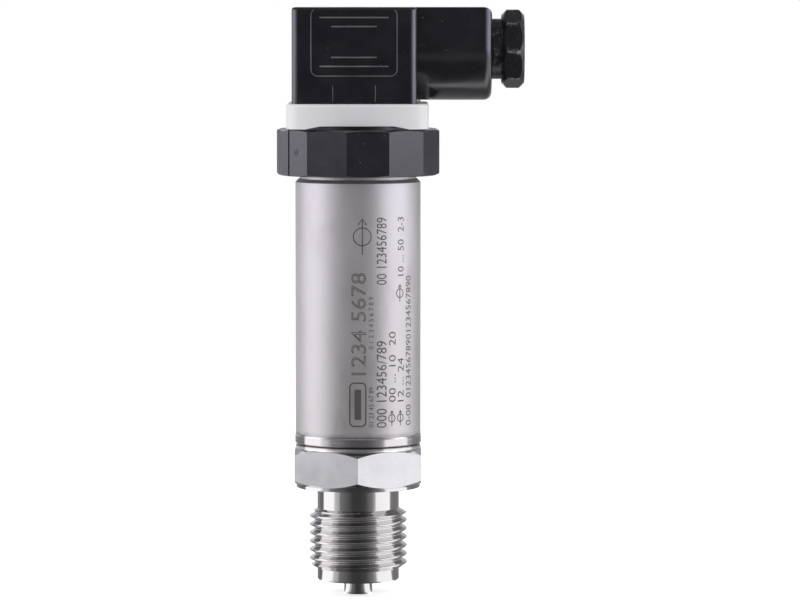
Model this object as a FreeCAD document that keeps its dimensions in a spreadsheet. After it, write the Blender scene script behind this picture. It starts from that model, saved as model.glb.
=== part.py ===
import FreeCAD, Part
import math
import os

import Sketcher

# Pressure transmitter with an angled plug connector, in millimetres.
# The axis of the sensor is Z. The origin lies on it, at the root of the pressure spigot.
# X points along the cable gland and the front face of the plug looks along -Y.

SIZES = {
    # Process connection
    "spigot_diameter": 6.0,
    "spigot_length": 3.0,
    "spigot_chamfer": 0.4,
    "pilot_diameter": 17.5,
    "pilot_length": 2.5,
    "pilot_chamfer": 0.5,
    "thread_diameter": 20.955,
    "thread_pitch": 1.814,
    "thread_depth": 1.162,
    "thread_turns": 7,
    "thread_lead_in": 1.0,
    "cut_overrun": 1.0,
    "relief_diameter": 17.5,
    "relief_length": 4.5,
    "hexagon_height": 8.3,
    "hexagon_top_step": 0.05,
    "washer_face_step": 0.25,
    "washer_face_height": 0.7,
    "weld_undercut": 0.05,
    "weld_collar_height": 1.25,
    "weld_spigot_height": 3.45,
    "pressure_bore_diameter": 3.5,
    "oil_chamber_step": 0.5,
    "oil_chamber_height": 1.0,
    "cell_seat_depth": 4.7,
    # Measuring cell
    "cell_wall": 2.65,
    "cell_height": 6.5,
    "cell_fit": 0.05,
    "diaphragm_edge": 1.5,
    "diaphragm_thickness": 0.2,
    "diaphragm_recess": 0.5,
    "diaphragm_wave": 0.15,
    "oil_space_step": 1.0,
    "oil_space_height": 1.4,
    "chip_inset": 1.5,
    "chip_height": 0.9,
    "pin_count": 5,
    "pin_diameter": 0.5,
    "pin_inset": 2.5,
    "pin_length": 8.6,
    "pin_clearance": 0.02,
    "cell_groove_width": 2.0,
    "cell_groove_depth": 1.3,
    "cell_groove_height": 2.7,
    "cell_ring_cord": 1.3,
    "locking_ring_wall": 1.85,
    "locking_ring_width": 3.3,
    "locking_ring_height": 2.5,
    "locking_ring_fit": 0.05,
    "spanner_hole_diameter": 1.6,
    # Case
    "foot_ring_step": 0.1,
    "foot_ring_height": 1.95,
    "foot_ring_edge": 0.25,
    "case_length": 54.8,
    "case_wall": 1.2,
    "case_edge": 0.7,
    "case_fit": 0.05,
    "inner_shoulder_depth": 4.3,
    "neck_step": 0.95,
    "neck_wall": 1.65,
    "neck_height": 5.7,
    "neck_chamfer": 0.5,
    "key_width": 2.0,
    "key_height": 2.5,
    "key_clearance": 0.15,
    # Board and its carriers
    "board_edge": 1.0,
    "board_thickness": 1.6,
    "board_fit": 0.05,
    "carrier_clearance": 0.2,
    "carrier_ring_height": 2.5,
    "carrier_post_height": 12.0,
    "carrier_post_width": 5.0,
    "carrier_groove_floor": 5.0,
    "carrier_post_inset": 3.0,
    "chip_body_length": 10.3,
    "chip_body_width": 7.5,
    "chip_body_height": 2.3,
    "chip_leg_count": 8,
    "chip_leg_pitch": 1.27,
    "chip_leg_width": 0.4,
    "chip_leg_reach": 1.4,
    "chip_leg_thickness": 0.25,
    "capacitor_count": 3,
    "capacitor_gap": 1.5,
    "capacitor_width": 4.3,
    "capacitor_height": 2.8,
    "solder_zone": 7.0,
    "lead_diameter": 1.0,
    "lead_clearance": 0.3,
    "cell_lead_diameter": 0.7,
    # Connector base
    "base_spigot_clearance": 0.15,
    "base_spigot_depth": 5.5,
    "base_flange_step": 0.15,
    "base_flange_thickness": 2.4,
    "pedestal_height": 3.45,
    "base_groove_width": 1.5,
    "base_groove_depth": 0.9,
    "base_groove_drop": 2.4,
    "base_ring_cord": 0.94,
    "insert_diameter": 4.6,
    "insert_length": 6.6,
    "insert_recess": 0.25,
    "insert_fit": 0.03,
    "contact_spacing": 18.0,
    "contact_edge": 1.8,
    "blade_width": 6.3,
    "blade_thickness": 0.8,
    "blade_reach": 12.4,
    "earth_lead": 1.0,
    "blade_root": 7.2,
    "blade_tip_chamfer": 1.2,
    "blade_hole_diameter": 1.6,
    "blade_hole_drop": 4.3,
    "tail_width": 2.2,
    "tail_length": 6.4,
    # Union nut
    "nut_sides": 12,
    "nut_wall": 5.11,
    "nut_first_corner": 22.6,
    "nut_gap": 0.75,
    "nut_play": 0.1,
    "nut_thread_clearance": 0.15,
    "nut_lip_clearance": 0.15,
    "nut_collar_step": 2.56,
    "nut_collar_height": 0.75,
    "nut_edge": 0.3,
    "nut_notch_width": 0.45,
    "nut_notch_depth": 0.4,
    "nut_notch_offset": 1.9,
    "nut_notch_facet": 6,
    # Profile gasket
    "gasket_margin": 3.9,
    "gasket_thickness": 4.65,
    "gasket_skirt": 0.65,
    "gasket_corner_radius": 4.5,
    "gasket_top_radius": 0.6,
    "gasket_collar_clearance": 1.95,
    "gasket_mouth_flare": 1.75,
    "gasket_slot_clearance": 0.35,
    "gasket_centre_hole": 5.2,
    "tab_width": 5.0,
    "tab_height": 0.5,
    "tab_thickness": 0.65,
    "tab_gap": 0.15,
    # Plug housing
    "plug_height": 20.4,
    "plug_face_wall": 2.3,
    "plug_left_wall": 2.7,
    "plug_right_wall": 1.4,
    "plug_corner_radius": 1.5,
    "plug_top_radius": 0.5,
    "plug_top_wall": 2.0,
    "block_clearance": 0.2,
    "barrel_diameter": 21.8,
    "barrel_length": 15.5,
    "barrel_edge_radius": 1.6,
    "gland_drop": 8.9,
    "throat_diameter": 10.0,
    "throat_wall": 1.8,
    "seal_bore_clearance": 0.1,
    "gland_thread_clearance": 0.15,
    "recess_diameter": 6.8,
    "recess_depth": 2.8,
    "screw_boss_diameter": 9.6,
    "screw_boss_height": 4.6,
    "panel_width": 18.2,
    "panel_drop": 14.5,
    "panel_corner_radius": 1.5,
    "panel_depth": 0.15,
    "panel_offset": 0.7,
    "bar_thickness": 0.5,
    "bar_depth": 0.3,
    "long_bar": 15.0,
    "short_bar": 10.0,
    "outer_bar_spread": 10.3,
    "inner_bar_spread": 6.5,
    "bar_centre_drop": 7.3,
    "label_width": 9.0,
    "label_height": 3.6,
    # Contact insert and its contacts
    "contact_block_edge": 2.0,
    "contact_block_rise": 0.4,
    "contact_block_height": 8.6,
    "contact_block_corner": 2.0,
    "block_screw_hole": 4.4,
    "socket_width": 7.3,
    "socket_thickness": 2.4,
    "socket_drop": 0.6,
    "socket_clearance": 0.1,
    "tongue_thickness": 0.8,
    "terminal_inset": 3.3,
    "tongue_share": 0.6,
    "terminal_head_diameter": 4.6,
    "terminal_head_height": 1.6,
    "terminal_shank_diameter": 3.0,
    "terminal_shank_length": 3.8,
    "terminal_slot_width": 0.7,
    "terminal_slot_depth": 0.8,
    # Plug screw
    "screw_diameter": 3.0,
    "screw_clearance": 0.1,
    "screw_engagement": 5.1,
    "screw_head_diameter": 5.6,
    "screw_head_height": 1.8,
    "screw_slot_width": 0.8,
    "screw_slot_depth": 0.9,
    "seal_ring_thickness": 0.6,
    # Cable gland
    "gland_opening": 2.15,
    "gland_seal_diameter": 13.3,
    "gland_seal_length": 4.3,
    "gland_seal_bore": 9.2,
    "gland_seal_clearance": 0.05,
    "gland_seal_edge": 0.4,
    "washer_diameter": 13.0,
    "washer_bore": 10.0,
    "washer_thickness": 1.0,
    "gland_thread_diameter": 15.2,
    "gland_shank_length": 7.5,
    "gland_neck_diameter": 12.9,
    "gland_head_corners": 16.8,
    "gland_head_sides": 8,
    "gland_head_length": 4.85,
    "gland_head_turn": 4.2,
    "gland_head_edge": 0.5,
    "cable_bore": 9.4,
}

# Slopes, in degrees: half angle of the pipe thread, and the turned chamfers at the ends of the hexagon
THREAD_FLANK = 27.5
LOWER_CHAMFER = 30
UPPER_CHAMFER = 22

document = FreeCAD.newDocument("PressureTransmitter")
sheet = document.addObject("Spreadsheet::Sheet", "Sizes")


class Size:
    """A number together with the formula over the sheet's cells that gives it."""

    def __init__(self, value, formula):
        self.value = float(value)
        self.formula = formula

    def __float__(self):
        return self.value

    def __add__(self, other):
        return Size(self.value + float(other), f"({self.formula} + {formula_of(other)})")

    def __sub__(self, other):
        return Size(self.value - float(other), f"({self.formula} - {formula_of(other)})")

    def __mul__(self, other):
        return Size(self.value * float(other), f"({self.formula} * {formula_of(other)})")

    def __truediv__(self, other):
        return Size(self.value / float(other), f"({self.formula} / {formula_of(other)})")

    def __neg__(self):
        return Size(-self.value, f"(-1 * {self.formula})")


def formula_of(number):
    return number.formula if isinstance(number, Size) else repr(float(number))


class Cells:
    """The sheet's cells by name, each as a Size."""


def fill_sheet():
    """Write every size into its own cell of the sheet, and give the cells back by name."""
    for row, (name, value) in enumerate(SIZES.items(), start=1):
        sheet.set(f"A{row}", name)
        sheet.set(f"B{row}", str(value))
        sheet.setAlias(f"B{row}", name)
    document.recompute()
    cells = Cells()
    for name in SIZES:
        setattr(cells, name, Size(sheet.get(name), "Sizes." + name))
    return cells


s = fill_sheet()
ZERO = Size(0, "0")


def bind(feature, prop, number):
    """Tie one property of a feature to a size, or set it where it is a plain number."""
    if isinstance(number, Size):
        feature.setExpression(prop, number.formula)
    else:
        setattr(feature, prop, number)


def new_body(label, several_solids=False):
    body = document.addObject("PartDesign::Body", label)
    body.Label = label
    body.AllowCompound = several_solids
    return body


def origin_part(body, role):
    return next(part for part in body.Origin.OriginFeatures if part.Role == role)


def new_sketch(body, name, plane, height=ZERO):
    """A sketch on one of the body's own planes, raised along the plane's normal."""
    sketch = body.newObject("Sketcher::SketchObject", name)
    sketch.AttachmentSupport = (origin_part(body, plane), "")
    sketch.MapMode = "FlatFace"
    sketch.AttachmentOffset = FreeCAD.Placement(FreeCAD.Vector(0, 0, float(height)), FreeCAD.Rotation())
    sketch.setExpression("AttachmentOffset.Base.z", formula_of(height))
    return sketch


def hold(sketch, kind, curve, point, number):
    """Fix one coordinate of a curve's point, measured from the sketch's origin."""
    constraint = Sketcher.Constraint(kind, -1, 1, curve, point, float(number))
    index = sketch.addConstraint(constraint)
    if isinstance(number, Size):
        sketch.setExpression(f"Constraints[{index}]", number.formula)


def outline(body, name, plane, corners, height=ZERO):
    """A closed sketch through corners given counter-clockwise as (across, up) pairs.

    A corner with a third entry, a centre, starts an arc about that centre to the next corner.
    """
    sketch = new_sketch(body, name, plane, height)
    points = [FreeCAD.Vector(float(corner[0]), float(corner[1]), 0) for corner in corners]
    count = len(points)
    for index, corner in enumerate(corners):
        start = points[index]
        end = points[(index + 1) % count]
        if len(corner) == 2:
            sketch.addGeometry(Part.LineSegment(start, end), False)
            continue
        centre = FreeCAD.Vector(float(corner[2][0]), float(corner[2][1]), 0)
        first = math.atan2(start.y - centre.y, start.x - centre.x)
        last = math.atan2(end.y - centre.y, end.x - centre.x)
        circle = Part.Circle(centre, FreeCAD.Vector(0, 0, 1), (start - centre).Length)
        sketch.addGeometry(Part.ArcOfCircle(circle, first, last + (2 * math.pi if last < first else 0)), False)
    for index in range(count):
        sketch.addConstraint(Sketcher.Constraint("Coincident", index, 2, (index + 1) % count, 1))
    for index, corner in enumerate(corners):
        hold(sketch, "DistanceX", index, 1, corner[0])
        hold(sketch, "DistanceY", index, 1, corner[1])
        if len(corner) == 3:
            chord = points[(index + 1) % count] - points[index]
            upright = abs(chord.y) > abs(chord.x)
            hold(sketch, "DistanceX" if upright else "DistanceY", index, 3, corner[2][0 if upright else 1])
    return sketch


def rectangle(left, right, bottom, top):
    return [(left, bottom), (right, bottom), (right, top), (left, top)]


def round_bar(left, right, middle, thickness):
    """The corners of a bar with half-round ends."""
    radius = thickness / 2
    return [
        (left + radius, middle - radius),
        (right - radius, middle - radius, (right - radius, middle)),
        (right - radius, middle + radius),
        (left + radius, middle + radius, (left + radius, middle)),
    ]


def polygon(radius, count, first_degrees):
    """The corners of a regular polygon about the origin."""
    corners = []
    for step in range(count):
        angle = math.radians(first_degrees + 360 * step / count)
        corners.append((radius * math.cos(angle), radius * math.sin(angle)))
    return corners


def circles(body, name, plane, centres, radius, height=ZERO):
    """A sketch of equal circles about the given centres."""
    sketch = new_sketch(body, name, plane, height)
    for index, (across, up) in enumerate(centres):
        centre = FreeCAD.Vector(float(across), float(up), 0)
        sketch.addGeometry(Part.Circle(centre, FreeCAD.Vector(0, 0, 1), float(radius)), False)
        hold(sketch, "DistanceX", index, 3, across)
        hold(sketch, "DistanceY", index, 3, up)
        constraint = sketch.addConstraint(Sketcher.Constraint("Radius", index, float(radius)))
        sketch.setExpression(f"Constraints[{constraint}]", formula_of(radius))
    return sketch


def turned(body, kind, name, corners):
    """A Revolution or Groove of an outline of (radius, height) corners about the body's Z axis."""
    sketch = outline(body, name + "_profile", "XZ_Plane", corners)
    feature = body.newObject("PartDesign::" + kind, name)
    feature.Profile = sketch
    feature.ReferenceAxis = (sketch, ["V_Axis"])
    feature.Angle = 360
    sketch.Visibility = False
    return feature


def raised(body, name, sketch, length, symmetric=False, downward=False):
    """A Pad of a sketch."""
    feature = body.newObject("PartDesign::Pad", name)
    feature.Profile = sketch
    feature.SideType = "Symmetric" if symmetric else "One side"
    feature.Reversed = downward
    bind(feature, "Length", length)
    sketch.Visibility = False
    return feature


def sunk(body, name, sketch, depth, from_below=False, symmetric=False):
    """A Pocket cut from a sketch against its normal, or along it where it is cut from below."""
    feature = body.newObject("PartDesign::Pocket", name)
    feature.Profile = sketch
    feature.SideType = "Symmetric" if symmetric else "One side"
    feature.Reversed = from_below
    bind(feature, "Length", depth)
    sketch.Visibility = False
    return feature


def softened(body, name, kind, base, size, wanted):
    """A Fillet or Chamfer on the edges of the last feature that wanted() accepts."""
    document.recompute()
    edges = [f"Edge{number}" for number, edge in enumerate(base.Shape.Edges, start=1) if wanted(edge)]
    feature = body.newObject("PartDesign::" + kind, name)
    feature.Base = (base, edges)
    bind(feature, "Radius" if kind == "Fillet" else "Size", size)
    body.Tip = feature
    return feature


def patterned(body, kind, name, original, direction, spacing, count):
    """A row of copies along an axis of the body, or a ring of copies about it."""
    feature = body.newObject("PartDesign::" + kind, name)
    feature.Originals = [original]
    if kind == "LinearPattern":
        feature.Direction = (origin_part(body, direction), [""])
        feature.Mode = "Spacing"
        bind(feature, "Offset", spacing)
    else:
        feature.Axis = (origin_part(body, direction), [""])
        feature.Angle = 360
    bind(feature, "Occurrences", count)
    body.Tip = feature
    return feature


def is_upright(edge):
    """Whether a straight edge runs along Z."""
    box = edge.BoundBox
    return isinstance(edge.Curve, Part.Line) and box.ZLength > 0.9 * edge.Length


def lies_at(edge, height):
    """Whether a whole edge lies at one height."""
    box = edge.BoundBox
    return abs(box.ZMin - float(height)) < 0.01 and abs(box.ZMax - float(height)) < 0.01


def stand(body, height):
    """Raise a body built from height zero to its place in the stack."""
    bind(body, "Placement.Base.z", height)


def lay_along_x(body, reach, height):
    """Turn a body so that its own Z axis lies along X, at a distance from the sensor axis."""
    body.Placement = FreeCAD.Placement(FreeCAD.Vector(0, 0, 0), FreeCAD.Rotation(FreeCAD.Vector(0, 1, 0), 90))
    bind(body, "Placement.Base.x", reach)
    bind(body, "Placement.Base.z", height)


# Levels of the stack, from the process connection up to the top of the plug
thread_length = s.thread_pitch * s.thread_turns + s.thread_pitch / 6
thread_top = s.pilot_length + thread_length
hexagon_bottom = thread_top + s.relief_length
hexagon_top = hexagon_bottom + s.hexagon_height
case_bottom = hexagon_top + s.weld_collar_height
weld_spigot_top = case_bottom + s.weld_spigot_height
case_shoulder = case_bottom + s.foot_ring_height + s.case_length
neck_top = case_shoulder + s.neck_height
inner_shoulder = case_shoulder - s.inner_shoulder_depth
flange_top = neck_top + s.base_flange_thickness
pedestal_top = flange_top + s.pedestal_height
gasket_top = pedestal_top + s.gasket_thickness
plug_top = gasket_top + s.plug_height
gland_axis = plug_top - s.gland_drop
nut_bottom = case_shoulder + s.nut_gap
nut_top = pedestal_top - s.nut_play
nut_collar_bottom = nut_top - s.nut_collar_height
cell_bottom = hexagon_top - s.cell_seat_depth
cell_top = cell_bottom + s.cell_height
locking_ring_top = cell_top + s.locking_ring_height
base_bottom = neck_top - s.base_spigot_depth
block_bottom = gasket_top + s.contact_block_rise
block_top = block_bottom + s.contact_block_height
terminal_top = block_top + s.tongue_thickness

# Radii of the stack, from the contacts of the plug connection outwards and down to the measuring cell
contact_place = s.contact_spacing / 2
pedestal_radius = contact_place + s.contact_edge
neck_bore_radius = pedestal_radius
neck_radius = neck_bore_radius + s.neck_wall
case_radius = neck_radius + s.neck_step
foot_ring_radius = case_radius + s.foot_ring_step
hexagon_half = foot_ring_radius
case_bore_radius = case_radius - s.case_wall
weld_spigot_radius = case_bore_radius - s.case_fit
cell_radius = weld_spigot_radius - s.cell_wall
diaphragm_radius = cell_radius - s.diaphragm_edge
oil_space_radius = diaphragm_radius - s.oil_space_step
pin_circle_radius = oil_space_radius - s.pin_inset
locking_ring_radius = weld_spigot_radius - s.locking_ring_wall
locking_ring_bore_radius = locking_ring_radius - s.locking_ring_width
carrier_radius = case_bore_radius - s.carrier_clearance
board_half_width = carrier_radius - s.board_edge
nut_corner_radius = neck_radius + s.nut_wall
nut_collar_radius = nut_corner_radius - s.nut_collar_step

# Half widths of the plug connection, from the contacts outwards and inwards
block_half = contact_place + s.contact_block_edge
cavity_half = block_half + s.block_clearance
plug_face = cavity_half + s.plug_face_wall
plug_left = cavity_half + s.plug_left_wall
plug_right = cavity_half + s.plug_right_wall
gasket_half = cavity_half + s.gasket_margin
terminal_place = contact_place - s.terminal_inset
tongue_start = terminal_place * s.tongue_share

# Places along the cable gland, measured from the sensor axis
seal_start = cavity_half + s.throat_wall
seal_end = seal_start + s.gland_seal_length
washer_start = seal_end + s.gland_seal_clearance + s.gland_opening
shank_start = washer_start + s.washer_thickness
neck_start = shank_start + s.gland_shank_length
barrel_end = seal_start + s.barrel_length
gland_head_start = barrel_end + s.gland_opening
gland_end = gland_head_start + s.gland_head_length


def process_connection():
    """Turned from hexagon bar: spigot, pilot, pipe thread, relief, hexagon and weld spigot."""
    body = new_body("process_connection")
    spigot = s.spigot_diameter / 2
    pilot = s.pilot_diameter / 2
    thread = s.thread_diameter / 2
    collar = case_radius - s.weld_undercut
    washer_face = hexagon_half - s.washer_face_step
    hexagon_base = hexagon_bottom + s.washer_face_height
    turned(body, "Revolution", "shaft", [
        (ZERO, -s.spigot_length),
        (spigot - s.spigot_chamfer, -s.spigot_length),
        (spigot, s.spigot_chamfer - s.spigot_length),
        (spigot, ZERO),
        (pilot - s.pilot_chamfer, ZERO),
        (pilot, s.pilot_chamfer),
        (pilot, s.pilot_length),
        (thread, s.pilot_length + s.thread_lead_in),
        (thread, thread_top - s.thread_lead_in),
        (s.relief_diameter / 2, thread_top),
        (s.relief_diameter / 2, hexagon_bottom),
        (washer_face, hexagon_bottom),
        (washer_face, hexagon_top - s.washer_face_height),
        (collar, hexagon_top - s.washer_face_height),
        (collar, case_bottom),
        (weld_spigot_radius, case_bottom),
        (weld_spigot_radius, weld_spigot_top),
        (ZERO, weld_spigot_top),
    ])
    corner = hexagon_half * 2 / math.sqrt(3)
    section = outline(body, "hexagon_outline", "XY_Plane", polygon(corner, 6, 30), hexagon_base)
    raised(body, "hexagon", section, hexagon_top - hexagon_base)
    over = corner + s.cut_overrun
    slope = math.tan(math.radians(LOWER_CHAMFER))
    turned(body, "Groove", "hexagon_lower_chamfer", [
        (washer_face, hexagon_base),
        (over, hexagon_base - (over - washer_face) * slope),
        (over, hexagon_base + (over - washer_face) * slope),
    ])
    chamfer_start = hexagon_half - s.hexagon_top_step
    slope = math.tan(math.radians(UPPER_CHAMFER))
    turned(body, "Groove", "hexagon_upper_chamfer", [
        (chamfer_start, hexagon_top),
        (over, hexagon_top - (over - chamfer_start) * slope),
        (over, hexagon_top),
    ])
    crest = s.thread_pitch / 6
    first = s.pilot_length + crest / 2
    root = thread - s.thread_depth
    flank = s.thread_depth * math.tan(math.radians(THREAD_FLANK))
    past = s.cut_overrun * math.tan(math.radians(THREAD_FLANK))
    groove = turned(body, "Groove", "thread_groove", [
        (root, first + crest / 2 + flank),
        (thread + s.cut_overrun, first + crest / 2 - past),
        (thread + s.cut_overrun, first + s.thread_pitch - crest / 2 + past),
        (root, first + s.thread_pitch - crest / 2 - flank),
    ])
    patterned(body, "LinearPattern", "thread", groove, "Z_Axis", s.thread_pitch, s.thread_turns)
    chamber = oil_space_radius - s.oil_chamber_step
    seat = cell_radius + s.cell_fit
    ring_seat = locking_ring_radius + s.locking_ring_fit
    chamber_floor = cell_bottom - s.oil_chamber_height
    turned(body, "Groove", "bore", [
        (ZERO, -s.spigot_length),
        (s.pressure_bore_diameter / 2, -s.spigot_length),
        (s.pressure_bore_diameter / 2, chamber_floor),
        (chamber, chamber_floor),
        (chamber, cell_bottom),
        (seat, cell_bottom),
        (seat, cell_top),
        (ring_seat, cell_top),
        (ring_seat, weld_spigot_top),
        (ZERO, weld_spigot_top),
    ])
    return body


def pin_places(count):
    """The centres of the header pins, evenly round their circle."""
    return [(pin_circle_radius * math.cos(2 * math.pi * step / count),
             pin_circle_radius * math.sin(2 * math.pi * step / count)) for step in range(count)]


def measuring_cell():
    """Steel capsule with an oil space behind the diaphragm and a groove for its seal ring."""
    body = new_body("measuring_cell")
    outer = cell_radius
    groove = outer - s.cell_groove_depth
    turned(body, "Revolution", "capsule", [
        (ZERO, s.diaphragm_recess + s.oil_space_height),
        (oil_space_radius, s.diaphragm_recess + s.oil_space_height),
        (oil_space_radius, s.diaphragm_recess),
        (diaphragm_radius + s.cell_fit, s.diaphragm_recess),
        (diaphragm_radius + s.cell_fit, ZERO),
        (outer, ZERO),
        (outer, s.cell_groove_height),
        (groove, s.cell_groove_height),
        (groove, s.cell_groove_height + s.cell_groove_width),
        (outer, s.cell_groove_height + s.cell_groove_width),
        (outer, s.cell_height),
        (ZERO, s.cell_height),
    ])
    holes = circles(body, "pin_hole_centres", "XY_Plane", pin_places(int(s.pin_count.value)),
                    s.pin_diameter / 2 + s.pin_clearance, s.cell_height)
    sunk(body, "pin_holes", holes, s.cell_height)
    stand(body, cell_bottom)
    return body


def isolating_diaphragm():
    """Thin corrugated steel disc that parts the measured medium from the oil."""
    body = new_body("isolating_diaphragm")
    radius = diaphragm_radius
    steps = 12
    lower = []
    for step in range(steps + 1):
        share = step / steps
        wave = 0 if step > steps - 3 else math.sin(share * 4 * math.pi)
        lower.append((radius * share, s.diaphragm_wave * wave))
    upper = [(across, height + s.diaphragm_thickness) for across, height in reversed(lower)]
    turned(body, "Revolution", "corrugations", lower + upper)
    stand(body, cell_bottom + s.diaphragm_recess - s.diaphragm_thickness)
    return body


def sensor_chip():
    """Silicon measuring element on the header inside the oil space."""
    chip = document.addObject("Part::Box", "sensor_chip")
    chip.Label = "sensor_chip"
    half = pin_circle_radius / 2 - s.chip_inset / 2
    bind(chip, "Length", half * 2)
    bind(chip, "Width", half * 2)
    bind(chip, "Height", s.chip_height)
    bind(chip, "Placement.Base.x", -half)
    bind(chip, "Placement.Base.y", -half)
    bind(chip, "Placement.Base.z", cell_bottom + s.diaphragm_recess + s.oil_space_height - s.chip_height)
    return chip


def header_pins():
    """Gold-plated pins through the header, one ring of equal pins."""
    body = new_body("header_pins", several_solids=True)
    sketch = circles(body, "pin_section", "XY_Plane", [(pin_circle_radius, ZERO)], s.pin_diameter / 2)
    pin = raised(body, "pin", sketch, s.pin_length)
    patterned(body, "PolarPattern", "pin_ring", pin, "Z_Axis", None, s.pin_count)
    stand(body, cell_bottom + s.diaphragm_recess + s.oil_space_height - s.pin_diameter)
    return body


def cell_o_ring():
    """Seal ring round the measuring cell."""
    ring = document.addObject("Part::Torus", "cell_o_ring")
    ring.Label = "cell_o_ring"
    floor = cell_radius - s.cell_groove_depth
    bind(ring, "Radius1", floor + s.cell_fit / 2 + s.cell_ring_cord / 2)
    bind(ring, "Radius2", s.cell_ring_cord / 2)
    bind(ring, "Placement.Base.z", cell_bottom + s.cell_groove_height + s.cell_groove_width / 2)
    return ring


def cell_locking_ring():
    """Screwed ring that holds the measuring cell in its seat, with two spanner holes."""
    body = new_body("cell_locking_ring")
    turned(body, "Revolution", "ring",
           rectangle(locking_ring_bore_radius, locking_ring_radius, ZERO, s.locking_ring_height))
    middle = (locking_ring_bore_radius + locking_ring_radius) / 2
    centres = [(middle, ZERO), (-middle, ZERO)]
    holes = circles(body, "spanner_hole_centres", "XY_Plane", centres, s.spanner_hole_diameter / 2,
                    s.locking_ring_height)
    sunk(body, "spanner_holes", holes, s.locking_ring_height)
    stand(body, cell_top)
    return body


def case_tube():
    """Turned and blasted tube with a bright foot ring, an inner shoulder and a threaded neck."""
    body = new_body("case_tube")
    foot = foot_ring_radius
    foot_top = case_bottom + s.foot_ring_height
    turned(body, "Revolution", "tube", [
        (case_bore_radius, case_bottom),
        (foot - s.foot_ring_edge, case_bottom),
        (foot, case_bottom + s.foot_ring_edge),
        (foot, foot_top - s.foot_ring_edge),
        (case_radius, foot_top),
        (case_radius, case_shoulder - s.case_edge),
        (case_radius - s.case_edge, case_shoulder),
        (neck_radius, case_shoulder),
        (neck_radius, neck_top - s.neck_chamfer),
        (neck_radius - s.neck_chamfer, neck_top),
        (neck_bore_radius, neck_top),
        (neck_bore_radius, inner_shoulder),
        (case_bore_radius, inner_shoulder),
    ])
    half = s.key_width / 2 + s.key_clearance
    slot = outline(body, "key_slot_outline", "XY_Plane",
                   rectangle(neck_bore_radius / 2, case_radius, -half, half), neck_top)
    sunk(body, "key_slot", slot, s.key_height + s.key_clearance)
    return body


def board_carrier(label, seat, turned_over):
    """Moulded ring with two grooved posts that hold one end of the board."""
    body = new_body(label)
    inner = carrier_radius - s.carrier_post_inset
    far = carrier_radius * 2
    post = s.carrier_post_width / 2
    groove = s.board_thickness / 2 + s.board_fit
    disc = circles(body, "disc_outline", "XY_Plane", [(ZERO, ZERO)], carrier_radius)
    raised(body, "disc", disc, s.carrier_post_height)
    middle = outline(body, "middle_outline", "XY_Plane", rectangle(-inner, inner, -far, far),
                     s.carrier_post_height)
    sunk(body, "middle", middle, s.carrier_post_height - s.carrier_ring_height)
    for name, near, away in (("front_side", -far, -post), ("rear_side", post, far)):
        side = outline(body, name + "_outline", "XY_Plane", rectangle(-far, far, near, away),
                       s.carrier_post_height)
        sunk(body, name, side, s.carrier_post_height - s.carrier_ring_height)
    reach = board_half_width + s.board_fit
    slot = outline(body, "groove_outline", "XY_Plane", rectangle(-reach, reach, -groove, groove),
                   s.carrier_post_height)
    sunk(body, "groove", slot, s.carrier_post_height - s.carrier_groove_floor)
    opening = circles(body, "opening_outline", "XY_Plane", [(ZERO, ZERO)],
                      contact_place + s.lead_diameter / 2 + s.lead_clearance,
                      s.carrier_ring_height)
    sunk(body, "opening", opening, s.carrier_ring_height)
    turn = FreeCAD.Rotation(FreeCAD.Vector(1, 0, 0), 180 if turned_over else 0)
    body.Placement = FreeCAD.Placement(FreeCAD.Vector(0, 0, 0), turn)
    stand(body, seat)
    return body


board_bottom = weld_spigot_top + s.carrier_groove_floor
board_top = inner_shoulder - s.carrier_groove_floor
board_middle = (board_bottom + board_top) / 2
board_face = s.board_thickness / 2


def circuit_board():
    """Board that stands on edge between the two carriers, notched for the leads."""
    body = new_body("circuit_board")
    half = board_half_width
    notch = s.lead_diameter * 1.5
    sketch = outline(body, "board_outline", "XZ_Plane", [
        (-half, board_bottom),
        (-notch, board_bottom),
        (-notch, board_bottom + notch),
        (notch, board_bottom + notch),
        (notch, board_bottom),
        (half, board_bottom),
        (half, board_top),
        (-half, board_top),
    ])
    raised(body, "board", sketch, s.board_thickness, symmetric=True)
    return body


def amplifier_chip():
    """Signal conditioning circuit in a flat housing with two rows of legs."""
    body = new_body("amplifier_chip")
    long = s.chip_body_length / 2
    wide = s.chip_body_width / 2
    package = outline(body, "package_outline", "XZ_Plane",
                      rectangle(-wide, wide, board_middle - long, board_middle + long), board_face)
    raised(body, "package", package, s.chip_body_height)
    reach = wide + s.chip_leg_reach
    lowest = board_middle - s.chip_leg_pitch * (s.chip_leg_count - 1) / 2
    half = s.chip_leg_width / 2
    legs = outline(body, "leg_outline", "XZ_Plane", rectangle(-reach, reach, lowest - half, lowest + half),
                   board_face)
    leg = raised(body, "leg_pair", legs, s.chip_leg_thickness)
    patterned(body, "LinearPattern", "legs", leg, "Z_Axis", s.chip_leg_pitch, s.chip_leg_count)
    return body


def board_capacitors():
    """Three chip capacitors soldered to the rear of the board."""
    body = new_body("board_capacitors", several_solids=True)
    half = s.capacitor_width / 2
    pitch = (board_top - board_bottom - s.solder_zone * 2) / s.capacitor_count
    start = board_bottom + s.solder_zone + s.capacitor_gap / 2
    sketch = outline(body, "capacitor_outline", "XZ_Plane",
                     rectangle(-half, half, start, start + pitch - s.capacitor_gap),
                     -(board_face + s.capacitor_height))
    capacitor = raised(body, "capacitor", sketch, s.capacitor_height)
    patterned(body, "LinearPattern", "capacitors", capacitor, "Z_Axis", pitch, s.capacitor_count)
    return body


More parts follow.
